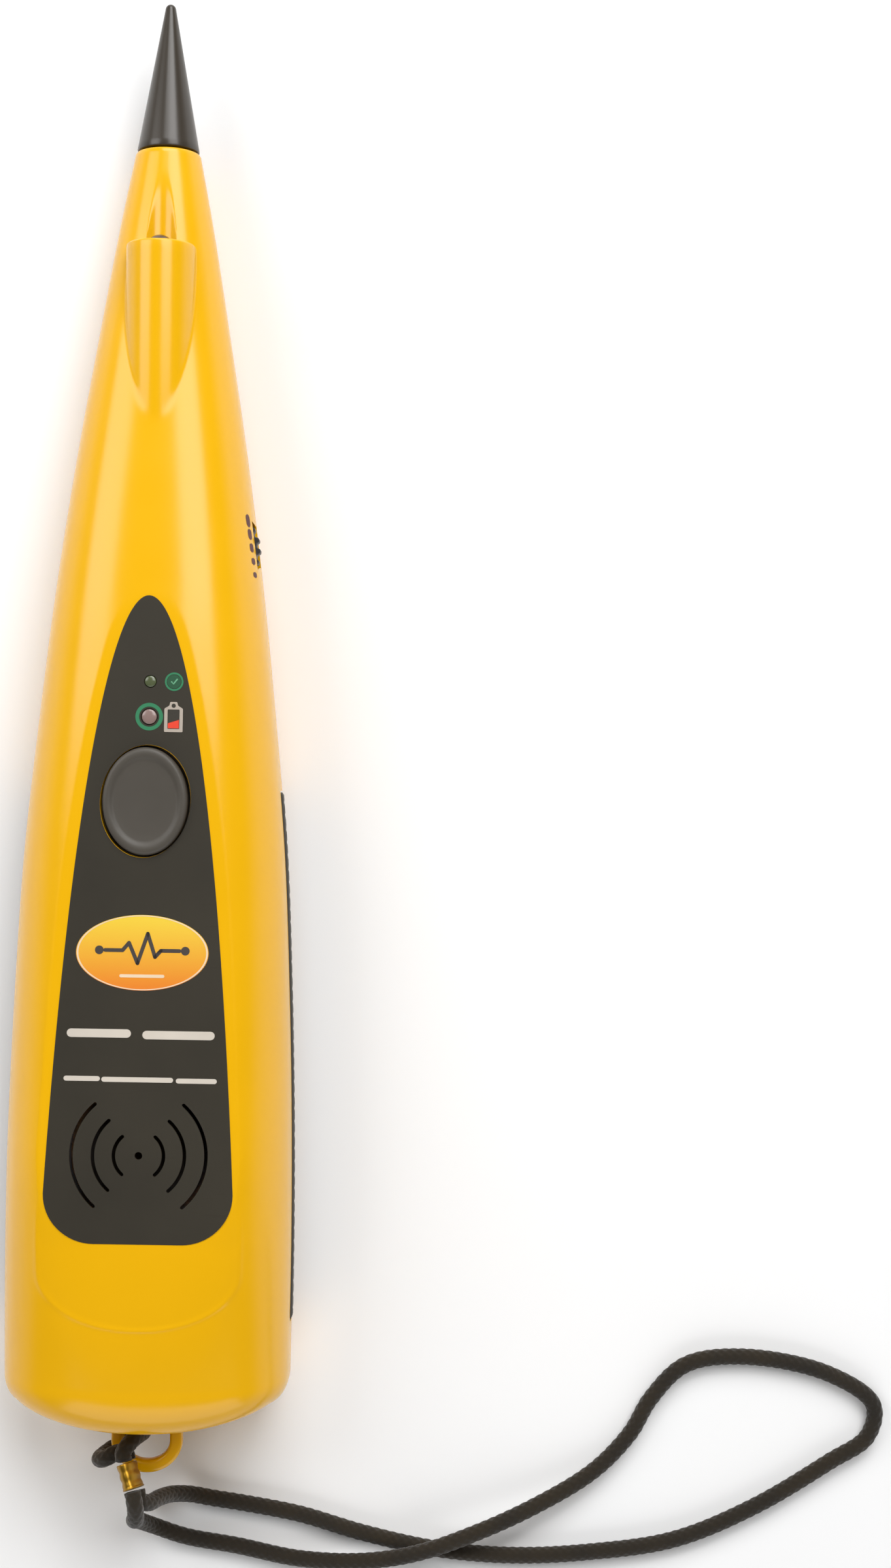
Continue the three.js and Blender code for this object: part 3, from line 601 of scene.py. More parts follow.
def finish(name, colour, roughness, metallic=0.0, grain=2500.0, relief=0.15, depth=0.00004,
           variation=0.05, scuffs=0.25, coat=0.0, sheen=0.0, specular=0.5):
    """A moulded, coated, metal or woven finish: tinted, grained and lightly scuffed."""
    if name in MATERIALS:
        return MATERIALS[name]
    material = bpy.data.materials.new(name)
    material.use_nodes = True
    tree = material.node_tree
    shader = tree.nodes["Principled BSDF"]
    shader.inputs["Metallic"].default_value = metallic
    shader.inputs["Coat Weight"].default_value = coat
    shader.inputs["Coat Roughness"].default_value = 0.15
    shader.inputs["Sheen Weight"].default_value = sheen
    shader.inputs["Specular IOR Level"].default_value = specular
    surface = effect(tree, "moulded_grain", Scale=grain, Cloud_Scale=grain / 40)
    rubbed = effect(tree, "rubbed_scuffs", Scale=160.0, Amount=scuffs)
    tint = map_range(tree, surface["Cloud"], 0.3, 0.7, 0.0, 1.0)
    base = mix_colours(tree, tint, shade(colour, 1 - variation), shade(colour, 1 + variation))
    tree.links.new(base, shader.inputs["Base Color"])
    cloudy = map_range(tree, surface["Cloud"], 0.3, 0.7, roughness * 0.93, roughness * 1.07)
    tree.links.new(math_node(tree, "ADD", cloudy, rubbed["Mask"]), shader.inputs["Roughness"])
    bump(tree, shader, surface["Height"], relief, depth)
    MATERIALS[name] = material
    return material


def yellow_plastic():
    case = bpy.context.scene.probe_case
    return finish("yellow_plastic", case.plastic, case.roughness, grain=2600.0, relief=0.12,
                  depth=0.00003, variation=0.012, scuffs=0.03)


def black_rubber():
    return finish("black_rubber", (0.027, 0.021, 0.011), 0.6, grain=1500.0, relief=0.2,
                  variation=0.12, scuffs=0.1)


def black_plastic():
    return finish("black_plastic", (0.018, 0.018, 0.02), 0.45, grain=2200.0, variation=0.1)


def metal(name, colour, roughness, grain=1200.0):
    return finish(name, colour, roughness, metallic=1.0, grain=grain, relief=0.15, depth=0.00002,
                  variation=0.12, scuffs=0.2)


# ---- The case ----


def section_sizes(y, inset=0.0, narrow=0.0, low=0.0, lift=0.0):
    """The case section's half width, its reach above and below the parting plane, and its power."""
    return (
        station(HALF_WIDTH, y) - inset - narrow,
        station(RIDGE, y) - inset - low - PARTING_Z,
        PARTING_Z - station(BACK, y) - inset - lift,
        2 / station(SQUARENESS, y),
    )


def circle_reach(side, up, centre, r, far):
    """How far along a ray from the section's middle a circle above it is met."""
    inside = r * r - centre * centre * side * side
    if inside < 0:
        return None
    return centre * up + math.sqrt(inside) * (1 if far else -1)


def shaped(x, z, y, pod):
    """Moves a point of the plain section along its own ray to the flat face, pod, scoop or back."""
    reach = math.hypot(x, z)
    side, up = x / reach, z / reach
    if up < -0.05:
        reach = smooth_min(reach, -PARTING_Z / up, 1.5)
    if up > 0.05:
        flat = (face_z(y) - PARTING_Z) / up
        low = min(1, max(0, (RIM_FROM_Y - y) / RIM_FADE))
        bead = CREASE_BEAD * (1 - low) * math.exp(-((reach - flat) / 0.09) ** 2)
        reach = smooth_min(reach, flat, CREASE + RIM_CREASE * low) + bead
        if low:
            around = math.hypot(side * reach / RIM[1], max(0, RIM[0] - y) / RIM[2])
            reach += RIM_PROUD * low * math.exp(-((around - 1) * RIM[2] / RIM_WIDTH) ** 2)
        if pod and POD_END_Y < y <= POD_FACE_Y:
            centre = between(POD_Z, (POD_FACE_Y - y) / (POD_FACE_Y - POD_END_Y)) - PARTING_Z
            r = POD_R - max(0, 0.35 - (POD_FACE_Y - y)) ** 2 * 2
            far = circle_reach(side, up, centre, r, True)
            if far is not None:
                reach = smooth_max(reach, far, 0.25)
        elif y >= POD_FACE_Y:
            near = circle_reach(side, up, SCOOP_Z - PARTING_Z, SCOOP_R, False)
            if near is not None:
                reach = smooth_min(reach, near, 0.3)
    return side * reach, up * reach


def section(y, upper, columns, inset=0.0, back=0.0, bow=0.0, pod=True, scale=1.0, **rounding):
    """One half of the shaped case section, from seam to seam."""
    half_width, top, bottom, power = section_sizes(y, inset, **rounding)
    height = top if upper else -bottom
    start = math.asin(min(0.9, SEAM / scale / abs(height)) ** (1 / power))
    plain = station(HALF_WIDTH, BASE_Y) - BASE_CORNER
    ring = []
    for c in range(columns + 1):
        angle = start + (math.pi - 2 * start) * c / columns
        x = half_width * math.copysign(abs(math.cos(angle)) ** power, math.cos(angle))
        x, z = shaped(x, height * math.sin(angle) ** power, y, pod)
        x, z = x * scale, z * scale
        bulge = bow * max(0, 1 - (x / plain) ** 2)
        ring.append((x, y - back - bulge, PARTING_Z + z))
    return ring


def case_half(upper):
    """One half of the case, closed across the parting plane."""
    case = bpy.context.scene.probe_case
    rows = [(NOSE_Y, {"narrow": 0.4, "low": 0.4, "lift": 0.4}),
            (NOSE_Y - 0.12, {"narrow": 0.14, "low": 0.14, "lift": 0.14}), (NOSE_Y - 0.4, {}), (BASE_Y, {})]
    spacing = (NOSE_Y - BASE_Y) / case.rows
    y = NOSE_Y - spacing
    while y > BASE_Y + 0.1:
        if abs(y - POD_FACE_Y) > spacing:
            rows.append((y, {}))
        y -= spacing / 3 if upper and -105 < y < -94 else spacing
    if upper:
        rows.append((POD_FACE_Y, {"pod": False}))
        rows.extend((POD_FACE_Y - step, {}) for step in (0.0, 0.08, 0.2, 0.36))
    rows.sort(key=lambda row: (-row[0], row[1].get("pod", True)))
    rings = [section(y, upper, case.columns, **extra) for y, extra in rows]
    steps = 14
    for k in range(1, steps + 1):
        turn = math.pi / 2 * k / steps
        pull = 1 - math.cos(turn)
        rings.append(section(
            BASE_Y, upper, case.columns, narrow=BASE_CORNER * pull, low=BASE_ROUND_Z * pull,
            lift=BASE_CORNER * pull, back=BASE_DEPTH * math.sin(turn), bow=BASE_BOW * math.sin(turn),
        ))
    for scale in (0.9, 0.75, 0.6, 0.45, 0.3, 0.15, 0.06):
        rings.append(section(
            BASE_Y, upper, case.columns, narrow=BASE_CORNER, low=BASE_ROUND_Z, lift=BASE_CORNER,
            back=BASE_DEPTH, bow=BASE_BOW, scale=scale,
        ))
    return loft(rings)


def hollow_out(shell):
    """Hollows a shell, leaving a boss round each screw."""
    rings = []
    rows, columns = 60, 56
    for k in range(rows + 1):
        y = between(CAVITY, k / rows)
        ring = []
        half_width, top, bottom, power = section_sizes(y, WALL)
        for c in range(columns):
            across, up = math.cos(2 * math.pi * c / columns), math.sin(2 * math.pi * c / columns)
            x = half_width * math.copysign(abs(across) ** power, across)
            z = (top if up > 0 else bottom) * math.copysign(abs(up) ** power, up)
            ceiling = face_z(y) - FACE_WALL - PARTING_Z
            shrink = min(1, ceiling / z) if z > 0 else 1
            ring.append((x * shrink, y, PARTING_Z + z * shrink))
        rings.append(ring)
    hollow = mesh_piece("hollow", loft(rings), None)
    carve(hollow, [rod(x, y, BOSS_R, -5, 40) for x, y, _ in screw_places()])
    carve_with(shell, hollow)


def speaker_slots(z0, z1, width=SLOT_WIDTH):
    forms = [rod(0, SPEAKER_Y, width / 2 + 0.35, z0, z1, 20)]
    for r in SLOT_RADII:
        for middle in (0, math.pi):
            forms.append(prism(arc_band(r, width, middle, SLOT_ANGLE, SPEAKER_Y), z0, z1))
    return forms


def leg_slots():
    """The slot in the base for the ring's two legs and its foot."""
    low, high = node_box("lanyard_ring")
    foot, back = high.y - 2.4 - GAP, high.y + GAP
    side = [(8.3, back), (8.3, foot), (6.7, foot), (6.7, -125), (3.8, -125), (3.8, foot)]
    outline = side + [(-x, y) for x, y in reversed(side)]
    return [prism(outline, low.z - GAP, high.z + GAP)]


def grip_form(side, grow=0.0, ribs=0.0):
    """A side grip: a band that follows the case wall, a little proud of it."""
    columns, rows = 26, 210
    y0, y1 = GRIP_Y[0] - grow, GRIP_Y[1] + grow
    z0, z1 = GRIP_Z[0] - grow, GRIP_Z[1] + grow
    outer, inner = [], []
    for k in range(rows + 1):
        y = y0 + (y1 - y0) * k / rows
        outer_row, inner_row = [], []
        for c in range(columns + 1):
            z = z0 + (z1 - z0) * c / columns
            wall = wall_x(y, z)
            edge = min(c, columns - c) / columns * (z1 - z0)
            end = min(k, rows - k) / rows * (y1 - y0)
            near = min(edge, end, 0.6) / 0.6
            proud = GRIP_PROUD * math.sqrt(max(0, 1 - (1 - near) ** 2)) + (1.0 if grow else 0)
            if ribs and 1.2 < edge and 1.2 < end:
                proud -= ribs * max(0, math.sin(2 * math.pi * y / 2.4)) ** 2
            outer_row.append((side * (wall + proud), y, z))
            inner_row.append((side * (wall - 1 - grow), y, z))
        outer.append(outer_row)
        inner.append(inner_row)
    rings = [outer[k] + list(reversed(inner[k])) for k in range(rows + 1)]
    return loft(rings)


def wall_x(y, z):
    """Half the width of the plain case at a height."""
    power = station(SQUARENESS, y)
    height = station(RIDGE, y) - PARTING_Z if z > PARTING_Z else PARTING_Z - station(BACK, y)
    return station(HALF_WIDTH, y) * (1 - (abs(z - PARTING_Z) / height) ** power) ** (1 / power)


def screw_places():
    """Each case screw's x, y and the height of its head's seat."""
    places = []
    for name in CASE_SCREWS:
        low, high = node_box(name)
        places.append(((low.x + high.x) / 2, (low.y + high.y) / 2, low.z + 1.5))
    return places


class PROBE_OT_front_shell(bpy.types.Operator):
    """Builds the front shell with its pod, flat face and openings"""

    bl_idname = "probe.front_shell"
    bl_label = "Front shell"

    def execute(self, context):
        shell = mesh_piece("front_case", case_half(True), yellow_plastic())
        hollow_out(shell)
        wheel_low, wheel_high = node_box("volume_wheel")
        wheel = (wheel_low + wheel_high) / 2
        holes = [
            moved(prism(ellipse(0, 0, BUTTON[2] + 0.5, BUTTON[3] + 0.4, 96), 20, 40),
                  Matrix.Translation((*BUTTON[:2], 0)) @ Matrix.Rotation(math.radians(-4), 4, "Z")),
            rod(*GREEN_LIGHT[:2], GREEN_LIGHT[2] + GAP, 20, 40),
            rod(*RED_LIGHT[:2], RED_LIGHT[2] + GAP, 20, 40),
            rod_along_y(0, PARTING_Z, STUD_HOLE_R, 80, 110),
            rod_along_y(0, TORCH_Z, 2.75, 78, 90),
            rod(wheel.x, wheel.y, 8.35, PARTING_Z - 1, wheel_high.z + 0.4, 96),
            grip_form(-1, GAP), grip_form(1, GAP),
            *[rod(x, y, PILOT_R, 0, seat + 14, 20) for x, y, seat in screw_places()],
            *speaker_slots(20, 40, 1.5), *leg_slots(),
        ]
        carve(shell, holes)
        settle(shell, "case", "yellow_abs", "front_shell")
        return {"FINISHED"}


class PROBE_OT_back_shell(bpy.types.Operator):
    """Builds the back shell with its screw pockets and battery doorway"""

    bl_idname = "probe.back_shell"
    bl_label = "Back shell"

    def execute(self, context):
        shell = mesh_piece("back_case", case_half(False), yellow_plastic())
        hollow_out(shell)
        low, high = node_box("battery_door")
        doorway = [
            block(-15, 15, low.y - 1, -59.6, -2, 2.75),
            block(-13.55, 13.55, low.y - 1, -61, -3, 7),
            block(-15, 15, low.y - 1, -109, 0, 4),
        ]
        for step in doorway:
            carve(shell, [step])
        more = [
            block(-5.4, 5.4, -59.61, high.y + 0.4, -2, 2.4),
            block(-16.4, 16.4, -112.05, -109.95, 0.5, 2.65),
            rod_along_y(0, PARTING_Z, STUD_HOLE_R, 80, 110),
            grip_form(-1, GAP), grip_form(1, GAP),
            *[rod(x, y, 2.6, -5, seat + GAP) for x, y, seat in screw_places()],
            *leg_slots(),
        ]
        carve(shell, more)
        carve(shell, [rod(x, y, PILOT_R, 0, 20, 20) for x, y, _ in screw_places()])
        settle(shell, "case", "yellow_abs", "back_shell")
        return {"FINISHED"}


class PROBE_OT_battery_door(bpy.types.Operator):
    """Builds the battery door with its latch, finger grooves and hinge pins"""

    bl_idname = "probe.battery_door"
    bl_label = "Battery door"

    def execute(self, context):
        low, high = node_box("battery_door")
        y0, y1 = low.y, -60.0
        columns, rows = 60, 104
        rings = []
        for k in range(rows + 1):
            y = y0 + (y1 - y0) * k / rows
            height = PARTING_Z - station(BACK, y) - GAP
            half_width = station(HALF_WIDTH, y) - GAP
            power = station(SQUARENESS, y)
            under = []
            for c in range(columns + 1):
                x = -14.6 + 29.2 * c / columns
                z = PARTING_Z - height * (1 - (abs(x) / half_width) ** power) ** (1 / power)
                z = smooth_max(z, low.z, 0.6)
                groove = sum(math.exp(-((y - y1 + 4.2 + 2.4 * i) / 0.55) ** 2) for i in range(4))
                reach = max(0, 1 - (abs(x) / 8.5) ** 6)
                under.append((x, y, z + 0.45 * groove * reach))
            rings.append(under + [(x, y, high.z) for x in (14.6, -14.6)])
        door = mesh_piece("battery_cover", loft(rings), yellow_plastic())
        corners = rounded([(-14.6, y0), (14.6, y0), (14.6, y1), (-14.6, y1)], 1.6)
        carve(door, [prism(corners, -5, 5)], "INTERSECT")
        pins = upright_to_y(rod(0, 0, 0.7, low.x, high.x, 24))
        turn = Matrix.Translation((0, -111, 1.6)) @ Matrix.Rotation(math.pi / 2, 4, "Z")
        latch = prism(rounded([(-5, y1 - 0.5), (5, y1 - 0.5), (5, high.y), (-5, high.y)], 0.6), 0.6, 2.0)
        carve(door, [moved(pins, turn), latch], "UNION")
        bevel(door, 0.15, 50)
        settle(door, "door", "yellow_abs", "battery_door")
        return {"FINISHED"}


class PROBE_OT_grips(bpy.types.Operator):
    """Builds the two ribbed rubber side grips"""

    bl_idname = "probe.grips"
    bl_label = "Side grips"

    def execute(self, context):
        for name, side in (("left_grip", -1), ("right_grip", 1)):
            grip = mesh_piece(name + "_rubber", grip_form(side, 0.0, 0.1), black_rubber())
            settle(grip, "case", "black_rubber", name)
        return {"FINISHED"}


# ---- Tip ----


class PROBE_OT_tip(bpy.types.Operator):
    """Builds the conductive cone at the nose"""

    bl_idname = "probe.tip"
    bl_label = "Tip"

    def execute(self, context):
        low, high = node_box("probe_tip")
        base_r = (high.x - low.x) / 2
        end_r = 0.95
        profile = [(0, low.y), (base_r - 0.25, low.y), (base_r - 0.07, low.y + 0.08), (base_r, low.y + 0.3)]
        cone = high.y - end_r - low.y
        for k in range(1, 25):
            share = k / 24
            r = base_r + (end_r * 1.02 - base_r) * share
            profile.append((r, low.y + 0.3 + (cone - 0.3) * share))
        profile.extend([*dome(end_r, high.y - end_r, end_r, 8), (0, high.y)])
        material = finish("tip_plastic", (0.036, 0.028, 0.019), 0.3, grain=900.0, relief=0.12,
                          depth=0.00003, variation=0.1, scuffs=0.2, coat=0.1)
        form = upright_to_y(lathe(profile, 96), PARTING_Z)
        tip = mesh_piece("tip_cone", form, material)
        carve(tip, [rod_along_y(0, PARTING_Z, 2.3, low.y - 1, 113)])
        settle(tip, "case", "tip_plastic", "probe_tip")
        return {"FINISHED"}


# ---- Face ----


def label_outline():
    def side(y):
        d = LABEL_APEX_Y - y
        return math.sqrt(3.45 * d - 0.0085 * d * d)

    right = []
    steps = 60
    for k in range(1, steps + 1):
        y = LABEL_APEX_Y - (LABEL_APEX_Y - LABEL_CORNER_Y) * (k / steps) ** 2
        right.append((side(y), y))
    corner_x = right[-1][0]
    drop = LABEL_CORNER_Y - LABEL_END_Y
    for k in range(1, 17):
        angle = math.pi / 2 * k / 16
        x = LABEL_FLAT + (corner_x - LABEL_FLAT) * math.cos(angle)
        right.append((x, LABEL_CORNER_Y - drop * math.sin(angle)))
    left = [(-x, y) for x, y in reversed(right)]
    return [(0, LABEL_APEX_Y)] + right + left


def decal(name, outlines, material, height, thick=0.03):
    """Thin printed ink on the label."""
    form = on_face(merge([prism(outline, height, height + thick) for outline in outlines]))
    return settle(mesh_piece(name, form, material), "case", "label_film")


def ring_decal(name, x, y, outer, inner, material, height):
    profile = [(inner, height), (outer, height), (outer, height + 0.03), (inner, height + 0.03)]
    form = on_face(moved(washer(profile, 64), Matrix.Translation((x, y, 0))))
    return settle(mesh_piece(name, form, material), "case", "label_film")


def stroke(points, width):
    """A polyline drawn as one outline of even width."""
    left, right = [], []
    count = len(points)
    for i, point in enumerate(points):
        here = Vector(point)
        before = Vector(points[max(i - 1, 0)])
        after = Vector(points[min(i + 1, count - 1)])
        along = (after - before).normalized()
        across = Vector((-along.y, along.x)) * width / 2
        left.append(tuple(here + across))
        right.append(tuple(here - across))
    return left + list(reversed(right))


def ink(name, colour):
    return finish(name, colour, 0.6, grain=3000.0, relief=0.1, variation=0.06, scuffs=0.05)


def badge_ink():
    """Ink that fades down the badge."""
    face = bpy.context.scene.probe_face
    material = finish("badge_ink", (1, 1, 1), 0.5, grain=3000.0, relief=0.05, variation=0.03)
    tree = material.node_tree
    shader = tree.nodes["Principled BSDF"]
    split = tree.nodes.new("ShaderNodeSeparateXYZ")
    tree.links.new(place_coordinates(tree), split.inputs[0])
    top, bottom = (BADGE[1] + BADGE[3]) * MM, (BADGE[1] - BADGE[3]) * MM
    share = map_range(tree, split.outputs["Y"], bottom, top, 0.0, 1.0)
    fade = mix_colours(tree, share, face.badge_bottom, face.badge_top)
    tree.links.new(fade, shader.inputs["Base Color"])
    return material


class PROBE_OT_label(bpy.types.Operator):
    """Builds the label film, its badge and its printed signs"""

    bl_idname = "probe.label"
    bl_label = "Label"

    def execute(self, context):
        face = context.scene.probe_face
        film = finish("label_film", face.film, 0.62, grain=1400.0, relief=0.3, depth=0.00004,
                      variation=0.16, scuffs=0.1, specular=0.35)
        label = mesh_piece("label", on_face(prism(label_outline(), -0.3, 0.06)), film)
        x, y, rx, ry = BUTTON
        lean = Matrix.Translation((x, y, 0)) @ Matrix.Rotation(math.radians(-5), 4, "Z")
        holes = [
            moved(prism(ellipse(0, 0, rx + 0.52, ry + 0.46, 96), 20, 40), lean),
            rod(*GREEN_LIGHT[:2], GREEN_LIGHT[2] + 0.1, 20, 40),
            rod(*RED_LIGHT[:2], RED_LIGHT[2] + 0.15, 20, 40),
            *speaker_slots(20, 40),
        ]
        carve(label, holes)
        settle(label, "case", "label_film", "face_label")
        top = 0.065
        badge = decal("badge", [ellipse(*BADGE, 96)], badge_ink(), top)
        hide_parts("label_badge")
        self.badge_mark(top + 0.031)
        self.signs(face, top)
        return {"FINISHED"}

    def badge_mark(self, height):
        """A plain pulse line with a dot at each end, and a pale rule and rim."""
        dark = ink("dark_ink", (0.05, 0.04, 0.035))
        pale = ink("pale_ink", (0.8, 0.62, 0.42))
        x, y, rx, ry = BADGE
        pulse = [(-6.4, 0), (-3.4, 0), (-2.3, 1.3), (-0.8, -2.2), (0.9, 2.9), (2.2, -1.1), (3.2, 0), (6.4, 0)]
        points = [Vector((x + a, y + 0.4 + b, 0)) for a, b in pulse]
        mark = decal("badge_pulse", [ellipse(x + side * 7.4, y + 0.4, 0.75, 0.75, 32) for side in (-1, 1)],
                     dark, height)
        for a, b in zip(points, points[1:]):
            length = (b - a).length
            place = Matrix.Translation(a) @ Matrix.Rotation(math.atan2(b.y - a.y, b.x - a.x), 4, "Z")
            segment = prism(bar(0, length, 0, 0.65), height, height + 0.03)
            carve(mark, [on_face(moved(segment, place))], "UNION")
        decal("badge_rule", [bar(x - 3.6, x + 3.6, y - 4.0, 0.55)], pale, height)
        rim = washer([(0.965, height), (0.99, height), (0.99, height + 0.02), (0.965, height + 0.02)], 96)
        rim = moved(rim, Matrix.Translation((x, y, 0)) @ Matrix.Diagonal((rx, ry, 1, 1)))
        settle(mesh_piece("badge_rim", on_face(rim), pale), "case", "badge_ink")

    def signs(self, face, top):
        green = ink("green_ink", (0.02, 0.19, 0.08))
        deep_green = ink("deep_green_ink", (0.008, 0.075, 0.03))
        outline = ink("outline_ink", (0.42, 0.36, 0.3))
        pale = ink("white_ink", face.print_white)
        ok_x, ok_y = 4.6, 9.3
        ring_decal("ok_ring", ok_x, ok_y, 1.6, 1.28, green, top)
        decal("ok_disc", [ellipse(ok_x, ok_y, 1.2, 1.2, 40)], deep_green, top)
        tick = [(ok_x - 0.5, ok_y + 0.05), (ok_x - 0.12, ok_y - 0.4), (ok_x + 0.58, ok_y + 0.5)]
        decal("ok_tick", [stroke(tick, 0.24)], ink("tick_ink", (0.12, 0.36, 0.2)), top + 0.031)
        ring_decal("low_ring", *RED_LIGHT[:2], 2.38, 1.74, green, top)
        x, y = 4.6, 3.2
        outer = rounded([(x - 1.6, y - 2.6), (x + 1.6, y - 2.6), (x + 1.6, y + 1.45), (x + 0.75, y + 1.95),
                         (x + 0.6, y + 2.6), (x - 0.6, y + 2.6), (x - 0.75, y + 1.95),
                         (x - 1.6, y + 1.45)], 0.2)
        decal("cell_outline", [outer], outline, top)
        inner = rounded([(x - 1.03, y - 2.05), (x + 1.03, y - 2.05), (x + 1.03, y + 1.3),
                         (x - 1.03, y + 1.3)], 0.15)
        dark = ink("film_ink", face.film)
        decal("cell_inside", [inner], dark, top + 0.031)
        level = [(x - 0.95, y - 1.95), (x + 0.95, y - 1.95), (x + 0.95, y - 0.5), (x + 0.3, y - 0.7),
                 (x - 0.95, y - 1.1)]
        decal("cell_level", [level], ink("red_ink", (0.75, 0.045, 0.015)), top + 0.062)
        decal("cell_eye", [ellipse(x, y + 1.95, 0.36, 0.36, 24)], dark, top + 0.031)
        words = [bar(-12.0, -2.4, -51.4, 1.45), bar(1.0, 12.0, -51.6, 1.45)]
        decal("print_upper", words, pale, top)
        words = [bar(-12.7, -7.3, -59.2, 0.85), bar(-6.2, 5.3, -59.3, 0.85), bar(6.6, 12.8, -59.4, 0.85)]
        decal("print_lower", words, pale, top)


# ---- Button and lights ----


class PROBE_OT_button(bpy.types.Operator):
    """Builds the dished oval rubber button"""

    bl_idname = "probe.button"
    bl_label = "Push button"

    def execute(self, context):
        low, high = node_box("push_button")
        top = high.z
        profile = [
            (0, low.z), (1.15, low.z), (1.16, low.z + 0.1), (1.16, low.z + 0.8), (1.0, low.z + 0.85),
            (1.0, top - 0.75), (0.995, top - 0.45), (0.975, top - 0.2), (0.945, top - 0.05), (0.905, top),
            (0.86, top - 0.02), (0.825, top - 0.1), (0.79, top - 0.26), (0.76, top - 0.36), (0.73, top - 0.4),
            (0.6, top - 0.42), (0.4, top - 0.46), (0.2, top - 0.49), (0, top - 0.5),
        ]
        x, y, rx, ry = BUTTON
        form = moved(lathe(profile, 128), Matrix.Translation((x, y, 0)) @ Matrix.Diagonal((rx, ry, 1, 1)))
        rubber = finish("button_rubber", (0.066, 0.057, 0.045), 0.5, grain=1500.0, relief=0.2,
                        variation=0.1, scuffs=0.15, specular=0.5)
        settle(mesh_piece("button", form, rubber), "button", "black_rubber", "push_button")
        return {"FINISHED"}


class PROBE_OT_lights(bpy.types.Operator):
    """Builds the two status lights and the torch"""

    bl_idname = "probe.lights"
    bl_label = "Lights"

    def execute(self, context):
        looks = {
            "green_led": (GREEN_LIGHT, (0.09, 0.11, 0.05), "green_lens"),
            "red_led": (RED_LIGHT, (0.28, 0.19, 0.17), "red_lens"),
        }
        for name, ((x, y, r), colour, slot) in looks.items():
            low, high = node_box(name)
            top = face_z(y) + 0.02
            profile = [(0, low.z), (1.5, low.z), (1.5, low.z + 3.8), (r, low.z + 4), (r, top - 0.1)]
            profile.extend([*dome(r, top - 0.1, 0.3, 10), (0, top + 0.2)])
            lens = finish(slot, colour, 0.22, grain=1800.0, relief=0.1, variation=0.15, scuffs=0.05, coat=0.4)
            form = moved(lathe(profile, 48), Matrix.Translation((x, y, 0)))
            settle(mesh_piece(name + "_lens", form, lens), "case", slot, name)
        low, high = node_box("torch_led")
        r = 2.5
        profile = [(0, low.y), (2.8, low.y), (2.8, low.y + 1), (r, low.y + 1), (r, high.y - r)]
        profile.extend([*dome(r, high.y - r, r, 12), (0, high.y)])
        lens = finish("torch_lens", (0.05, 0.022, 0.018), 0.12, grain=800.0, relief=0.05, variation=0.3,
                      scuffs=0.05, coat=0.6)
        form = upright_to_y(lathe(profile, 64), TORCH_Z)
        settle(mesh_piece("torch_lens", form, lens), "case", "clear_lens", "torch_led")
        return {"FINISHED"}


# ---- Volume wheel and marks ----


class PROBE_OT_volume_wheel(bpy.types.Operator):
    """Builds the knurled volume wheel and the marks beside it"""

    bl_idname = "probe.volume_wheel"
    bl_label = "Volume wheel"

    def execute(self, context):
        low, high = node_box("volume_wheel")
        middle = (low + high) / 2
        knurls, steps = 24, 8
        outline = []
        for k in range(knurls * steps):
            turn = 2 * math.pi * (k + 0.5) / (knurls * steps)
            wave = math.cos(knurls * turn)
            r = 7.7 + 0.3 * math.copysign(min(1, abs(wave) * 1.8), wave)
            outline.append((middle.x + r * math.cos(turn), middle.y + r * math.sin(turn)))
        rings = []
        for z, inset in ((low.z, 0.965), (low.z + 0.25, 1.0), (high.z - 0.25, 1.0), (high.z, 0.965)):
            rings.append([(middle.x + (x - middle.x) * inset, middle.y + (y - middle.y) * inset, z)
                          for x, y in outline])
        wheel = mesh_piece("knurled_wheel", loft(rings), black_plastic(), 50)
        carve(wheel, [rod(middle.x, middle.y, 1.3, low.z - 1, high.z + 1)])
        settle(wheel, "wheel", "dark_plastic", "volume_wheel")
        self.marks()
        return {"FINISHED"}

    def marks(self):
        """Five marks that shrink towards the base, drawn on the case wall above the wheel."""
        forms = []
        for i, length in enumerate((2.3, 1.9, 1.6, 1.2, 1.0)):
            y = 38.5 - 2.4 * i
            z = 17.6
            rings = []
            for k in range(9):
                t = k / 8 * 2 - 1
                here = y + t * length / 2
                half = 0.75 * math.sqrt(max(0.05, 1 - t ** 4))
                ring = []
                for corner in ((0.05, -half), (0.05, half), (-0.4, half), (-0.4, -half)):
                    height = z + corner[1]
                    ring.append((wall_x(here, height) + corner[0], here, height))
                rings.append(ring)
            forms.append(loft(rings))
        paint = ink("mark_ink", (0.1, 0.03, 0.03))
        settle(mesh_piece("volume_marks", merge(forms), paint), "case", "dark_plastic")


# ---- Lanyard ring, ferrule and cord ----


